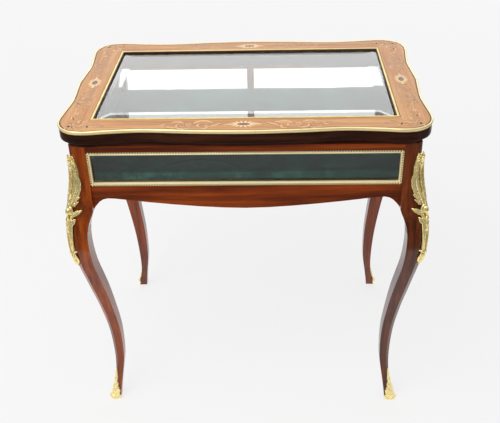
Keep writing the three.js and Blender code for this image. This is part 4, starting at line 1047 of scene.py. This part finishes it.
def blade(path, widths, lobes=5, scallop=0.3, vein=0.9, rib=0.8, cup=0.0, lean=0.14, thick=2.0,
          sink=False, steps=34, cols=13):
    """An acanthus leaf along a path: scalloped edges, a vein to each lobe and a midrib."""
    rings = []
    for i in range(steps + 1):
        t = i / steps
        here, side, up = frame_on(path, t)
        w = np.interp(t, np.linspace(0, 1, len(widths)), widths)
        edge = 1 - scallop * (1 - abs(math.sin(math.pi * lobes * (t - lean))) ** 0.6) if lobes else 1.0
        top, under = [], []
        for v in np.linspace(-1, 1, cols):
            ridge = abs(math.sin(math.pi * lobes * (t - lean * abs(v)))) ** 0.8 if lobes else 0.5
            high = rib * math.exp(-(v / 0.16) ** 2) + vein * ridge * (0.2 + 0.8 * abs(v)) + cup * w * v * v
            flat = here + side * (v * w * edge)
            top.append(flat + up * high)
            low = flat + up * (high - thick * (1.1 - 0.5 * abs(v)))
            under.append(np.array([low[0], low[1], -2.0]) if sink else low)
        rings.append(top + under[::-1])
    return skin(rings)[:2]


class Casting:
    """The parts of one casting, each made along a path of rows on the leg's corner."""

    def __init__(self, at=lambda rows: rows):
        self.at = at
        self.parts = []

    def one(self, maker, rows, *sizes, **more):
        self.parts.append(maker(self.at(rows), *sizes, **more))

    def pair(self, maker, rows, *sizes, **more):
        """The same part on each side of the corner."""
        self.one(maker, rows, *sizes, **more)
        self.one(maker, [(-s, u, h) for s, u, h in rows], *sizes, **more)

    def placed(self):
        return [(on_leg(verts), faces) for verts, faces in self.parts]


def fused(name, parts, voxel, keep):
    """Parts cast as one mesh: joined by voxels, softened and thinned out."""
    verts, faces = merge(parts)
    obj = make(name, verts, faces, [gilt], angle=180.0)
    modify(obj, "REMESH", mode="VOXEL", voxel_size=voxel * MM)
    modify(obj, "SMOOTH", factor=0.5, iterations=2)
    modify(obj, "DECIMATE", ratio=keep)
    evaluated(obj)
    mark_patina_and_shade(obj.data)
    smooth(obj.data)
    return obj


def mark_patina_and_shade(mesh):
    """Stores for each point how far it lies down in the hollows, for the patina, and how close it lies to the
    wood of the leg, for painted shade where the casting meets it.
    """
    count = len(mesh.vertices)
    co = points_of(mesh)
    normals = np.zeros(count * 3)
    mesh.vertex_normals.foreach_get("vector", normals)
    ends = np.zeros(len(mesh.edges) * 2, int)
    mesh.edges.foreach_get("vertices", ends)
    a, b = ends.reshape(-1, 2).T
    degree = np.maximum(1, np.bincount(np.r_[a, b], minlength=count))
    soft = co.copy()
    for _ in range(10):
        sums = [np.bincount(a, soft[b, k], count) + np.bincount(b, soft[a, k], count) for k in range(3)]
        soft = np.stack(sums, 1) / degree[:, None]
    depth = ((soft - co) * normals.reshape(-1, 3)).sum(1) / MM
    x, y, z = co.T / MM
    cant = leg_at(z, 3)
    dx, dy = x - leg_at(z, 1) + cant / 2, y - leg_at(z, 2) + cant / 2
    over = np.abs(dy - dx) / ROOT2 - cant / ROOT2
    above = (dx + dy) / ROOT2 + fall(over)
    # Painted shade: points close to the leg's surface darken, for the shadow where the casting meets the
    # wood.
    beside = np.where(z > 14, np.clip((2.0 - above) / 1.6, 0, 1), 0)
    hollow = np.clip(np.clip((depth - 0.12) / 0.8, 0, 1) + beside, 0, 1)
    layer = mesh.attributes.new("hollow", "FLOAT", "POINT")
    layer.data.foreach_set("value", hollow.astype(np.float32))


def at_each_leg(obj, names, stands_for):
    """The piece at each leg, mirrored from the one at the back right."""
    for corner, sx, sy in CORNERS:
        mesh = obj.data.copy()
        mesh.transform(Matrix.Diagonal((sx, sy, 1, 1)))
        if sx * sy < 0:
            mesh.flip_normals()
        mesh.name = names + corner
        settle(link(bpy.data.objects.new(mesh.name, mesh)), "case", stands_for + corner)
    bpy.data.objects.remove(obj)


def mount_body(at):
    """The low ground that the mount's ribs and leaves rise from."""
    rings = []
    wide = [(4, 4), (12, 8), (34, 11), (52, 11.5), (68, 13.5), (86, 13), (100, 11), (112, 7), (122, 6)]
    high = [(4, 3.2), (30, 4), (60, 5), (90, 7), (122, 9.5)]
    for u in np.linspace(5, 121, 80):
        w, peak = table_at(wide, u), table_at(high, u)
        upper, under = [], []
        for v in np.linspace(-1, 1, 25):
            h = 2.4 + (peak - 2.4) * (1 - v * v) + 0.5 * math.sin(2 * math.pi * (u + 2.2 * abs(v) * w) / 9)
            upper.append((v * w, u, h))
            under.append((v * w, u, -2.0))
        rings.append(at(upper) + at(under)[::-1])
    return skin(rings)[:2]


def knee_mounts():
    """The acanthus mounts: a ribbed and leafed head, a knot, a fluted stem, a collar and a bud."""
    top = CASE_TOP - 19.5
    cast = Casting(lambda rows: [(s, top - u, h) for s, u, h in rows])
    cast.parts.append(mount_body(cast.at))
    cast.one(blade, [(0, 120, 19), (0, 104, 17.5), (0, 84, 13.5), (0, 60, 9.8), (0, 36, 8.4), (0, 20, 8.4),
                     (0, 11, 10)], [2.4, 3.6, 3.8, 3.2, 3.2, 4.2, 0.8], 6, 0.36, vein=0.8, rib=1.4, thick=6,
             steps=64)
    cast.pair(tube, [(2.5, 118, 14.5), (5.6, 100, 13), (8.6, 80, 10.4), (10.2, 56, 8.2), (9.8, 32, 7.4),
                     (7.2, 13, 7), (3.8, 3, 6.6)], [2.4, 2.9, 2.8, 2.3, 2.2, 1.8, 0.8], 60, 12)
    cast.pair(blade, [(4, 114, 11), (10.4, 98, 9.5), (14, 80, 8), (14.6, 62, 7.5), (12.4, 40, 9.5)],
              [2.4, 3.5, 3.6, 3.2, 0.8], 4, 0.34, vein=0.9, rib=1.5, thick=4, steps=54)
    cast.pair(blade, [(8, 104, 9), (12.4, 100, 8.5), (17.4, 95, 9.5)], [2.6, 3.2, 0.6], 2, 0.25, thick=3)
    cast.pair(blade, [(6, 114, 10), (11, 111, 9.5), (16.5, 105, 10)], [2.4, 3.0, 0.6], 2, 0.25, thick=3)
    cast.one(blade, [(0, 34, 9), (0, 20, 10), (0, 8, 12)], [4, 6, 0.9], 3, 0.35, thick=4)
    cast.pair(blade, [(3.5, 26, 7.5), (5, 13, 7.5), (4.4, 1, 8.5)], [2.6, 4.4, 0.7], 3, 0.35, thick=4)
    cast.pair(blade, [(6.6, 32, 8), (9.4, 21, 8), (11.2, 11, 10.5)], [2.4, 3.6, 0.7], 2, 0.3, thick=4)
    cast.one(tube, [(0, 118, 15), (0, 122, 15.5), (0, 129, 15.5), (0, 136, 14)], [2.0, 5.6, 6.0, 2.5], 18, 14)
    cast.pair(tube, [(1, 116, 17), (6.5, 119, 14), (8.5, 127, 11.5), (5.5, 134, 12), (2.8, 130, 15.5),
                     (4.6, 126, 16)], [1.6, 2.1, 2.2, 2.0, 1.8, 1.6], 34, 8)
    cast.pair(blade, [(6, 139, 9), (12, 133.5, 10), (17.5, 129, 10.5), (23, 124.5, 12)], [3.8, 5.2, 4.8, 1.4],
              3, 0.2, vein=0.8, rib=1.4, thick=4)
    cast.pair(blade, [(6, 160, 8.5), (10.5, 152, 10), (14.5, 144, 11.5)], [3.8, 4.6, 1.2], 2, 0.24, vein=0.8,
              rib=1.2, thick=4)
    cast.one(blade, [(0, 186, 10.5), (0, 168, 12.5), (0, 150, 15.5), (0, 137, 18)], [1.0, 4.5, 5.2, 1.2],
             4, 0.35, rib=1.4, thick=5)
    cast.pair(tube, [(5.2, 138, 9), (6.6, 158, 8.6), (6.2, 188, 8.2), (4.9, 212, 8.4), (4.0, 232, 8.2)],
              [3.2, 3.5, 3.1, 2.8, 2.6], 44, 12)
    cast.one(tube, [(0, 140, 3), (0, 190, 3), (0, 232, 4)], [4.0, 3.8, 3.2], 30, 10)
    cast.one(tube, [(-9.5, 227, 3), (-5.5, 229, 8.5), (0, 230.5, 11.6), (5.5, 229, 8.5), (9.5, 227, 3)],
             [1.9, 2.4, 2.5, 2.4, 1.9], 28, 10)
    cast.one(blade, [(0, 231, 8), (0, 242, 10.5), (0, 256, 8.5), (0, 270, 3.5)], [3.5, 6, 5.5, 0.8], 3, 0.2,
             vein=0.8, rib=1.6, cup=-0.12, thick=6)
    cast.pair(blade, [(4, 232, 7), (7.5, 243, 7.5), (7, 255, 5), (5.5, 262, 5)], [2.4, 3.6, 2.6, 0.6],
              2, 0.25, thick=4)
    at_each_leg(fused("mount", cast.placed(), voxel=0.8, keep=0.36), "acanthus_mount_", "knee_mount_")


def sabot_shell():
    """The thin casting round the two outer faces of the foot, highest on the corner."""
    rings = []
    for t, grow in ((0.0, 0.6), (0.12, 1.5), (0.3, 1.9), (0.6, 1.8), (0.85, 1.4), (1.0, 0.5)):
        ring = []
        for k, top in enumerate((10, 17, 28, 28, 17, 10, 9)):
            z = top * t
            x1, y1, cant, x0, y0 = (float(leg_at(z, column)) for column in range(1, 6))
            cut = cant + grow * (2 - ROOT2)
            x1, y1 = x1 + grow, y1 + grow
            ring.append([(x0 - FIT, y1), ((x0 + x1 - cut) / 2, y1), (x1 - cut, y1), (x1, y1 - cut),
                         (x1, (y0 + y1 - cut) / 2), (x1, y0 - FIT), (x0 + 5, y0 + 5)][k] + (z,))
        rings.append(ring)
    return skin(rings)[:2]


TOE_OUT, TOE_HIGH = 3.4, 7.6


def sabots():
    """The shoes: a shell and sole, a tall leaf up the corner, smaller ones beside it and a toe scroll."""
    cast = Casting()
    cast.one(blade, [(0, 8, 5.5), (0, 24, 5), (0, 36, 4.6), (0, 47, 4.2), (0, 60, 3.7), (0, 74, 3.2),
                     (0, 87, 3.2)], [10.5, 10.5, 8.6, 5.2, 3.9, 2.7, 0.6], 5, 0.3, vein=2.0, rib=2.4,
             cup=-0.03, sink=True, steps=60)
    cast.pair(blade, [(2, 6, 3.5), (7, 13, 5.4), (10.5, 21, 5), (12.5, 29, 5.6)], [4, 5.5, 4, 0.8], 3, 0.35,
              vein=1.6, rib=1.8, thick=4)
    cast.pair(tube, [(4, 34, 4), (9.5, 24, 4.6), (11.5, 14, 4.6), (8.5, 7, 5), (6, 10, 5.4)],
              [1.2, 1.9, 2.3, 2.1, 1.4], 30, 8)
    parts = cast.placed() + [sabot_shell()]
    spiral = []
    for side, turns in ((1, np.linspace(0, 1.45, 34)), (-1, np.linspace(1.45, 0, 34))):
        for t in turns:
            a = math.radians(120) - t * 2 * math.pi
            r = 7.2 - 3.5 * t + side * 1.0
            spiral.append((TOE_OUT + r * math.cos(a), TOE_HIGH + r * math.sin(a) * 0.92))
    rings = []
    for s in np.linspace(-8, 8, 15):
        swell = 1.0 - 0.14 * (abs(s) / 8) ** 2
        rings.append([(s, TOE_HIGH + (z - TOE_HIGH) * swell, TOE_OUT + (n - TOE_OUT) * swell)
                      for n, z in spiral])
    verts, faces, _ = skin(rings)
    placed = on_leg([(s, TOE_HIGH, n) for s, z, n in verts], False)
    placed[:, 2] = [z for s, z, n in verts]
    parts.append((placed, faces))
    verts, faces = tube([(s, TOE_HIGH, TOE_OUT) for s in (-7.6, 0, 7.6)], [2.4, 3.7, 2.4], 12, 12)
    parts.append((on_leg(verts, False), faces))
    low = LEG_ROWS[0]
    rings = []
    for z, grow in ((0, 1.6), (1.0, 2.2), (2.6, 2.2), (3.6, 1.0)):
        x1, y1, cut = low[1] + grow, low[2] + grow, low[3] + grow * (2 - ROOT2)
        x0, y0 = low[4] + 4.0, low[5] + 4.0
        rings.append([(x0, y0, z), (x1, y0, z), (x1, y1 - cut, z), (x1 - cut, y1, z), (x0, y1, z)])
    parts.append(skin(rings)[:2])
    at_each_leg(fused("shoe", parts, voxel=0.75, keep=0.45), "leaf_sabot_", "sabot_")


# Nodes that keep their CAD shape

def shade_group(degrees):
    """Geometry nodes that smooth a mesh but for edges sharper than this."""
    tree = bpy.data.node_groups.new("smooth_to_%g" % degrees, "GeometryNodeTree")
    for way in ("INPUT", "OUTPUT"):
        tree.interface.new_socket("Geometry", in_out=way, socket_type="NodeSocketGeometry")
    n = Nodes("shade", tree)
    faces = n.add("GeometryNodeSetShadeSmooth", {"Geometry": n.add("NodeGroupInput").outputs[0]}).outputs[0]
    angle = n.add("GeometryNodeInputMeshEdgeAngle").outputs[0]
    sharp = n.add("FunctionNodeCompare", {0: angle, 1: math.radians(degrees)}, operation="GREATER_THAN")
    edges = n.add("GeometryNodeSetShadeSmooth", {"Geometry": faces, "Selection": sharp.outputs[0],
                                                 "Shade Smooth": False}, domain="EDGE")
    n.add("NodeGroupOutput", {0: edges.outputs[0]})
    return tree


smooth_tree = shade_group(34)
flat_tree = shade_group(1)


def finish_node(name, material, bevel=0.0, tree=None):
    """Gives a CAD node its material, edges rounded by bevel millimetres and smooth shading."""
    obj = nodes[name]
    for slot in obj.material_slots:
        slot.material = material
    if not obj.material_slots:
        obj.data.materials.append(material)
    modify(obj, "WELD", merge_threshold=0.00001)
    if bevel:
        modify(obj, "BEVEL", width=bevel * MM, segments=2, limit_method="ANGLE",
               angle_limit=math.radians(38), use_clamp_overlap=True)
    modify(obj, "NODES", node_group=tree or smooth_tree)
    if bevel:
        modify(obj, "WEIGHTED_NORMAL", keep_sharp=True)


def finish_nodes():
    # Painted light and shade: the front right leg takes the darkened rosewood and the front left leg the
    # brightened one.
    lit_and_shaded_legs = {"leg_front_right": rose_shaded, "leg_front_left": rose_lit}
    for name in nodes:
        axis = 0 if name.endswith(("front", "back")) else 1
        if name.startswith("leg_") or name == "back_post":
            finish_node(name, lit_and_shaded_legs.get(name, rose_z), 0.7)
        elif name.startswith("apron_"):
            finish_node(name, apron_wood[axis], 0.5)
        elif name.startswith("top_rail_"):
            finish_node(name, (rose_x, rose_y)[axis], 0.5)
        elif name == "base_board":
            finish_node(name, rose_x, 0.4)
        elif name.startswith("pane_") or name == "lid_glass":
            finish_node(name, clear_glass, tree=flat_tree)
        elif name.startswith(("hinge_", "case_screw", "lid_screw")):
            finish_node(name, hinge_metal, 0.15)


finish_nodes()
add_lid()
add_marquetry()
add_bead_frames()
add_pad()
knee_mounts()
sabots()
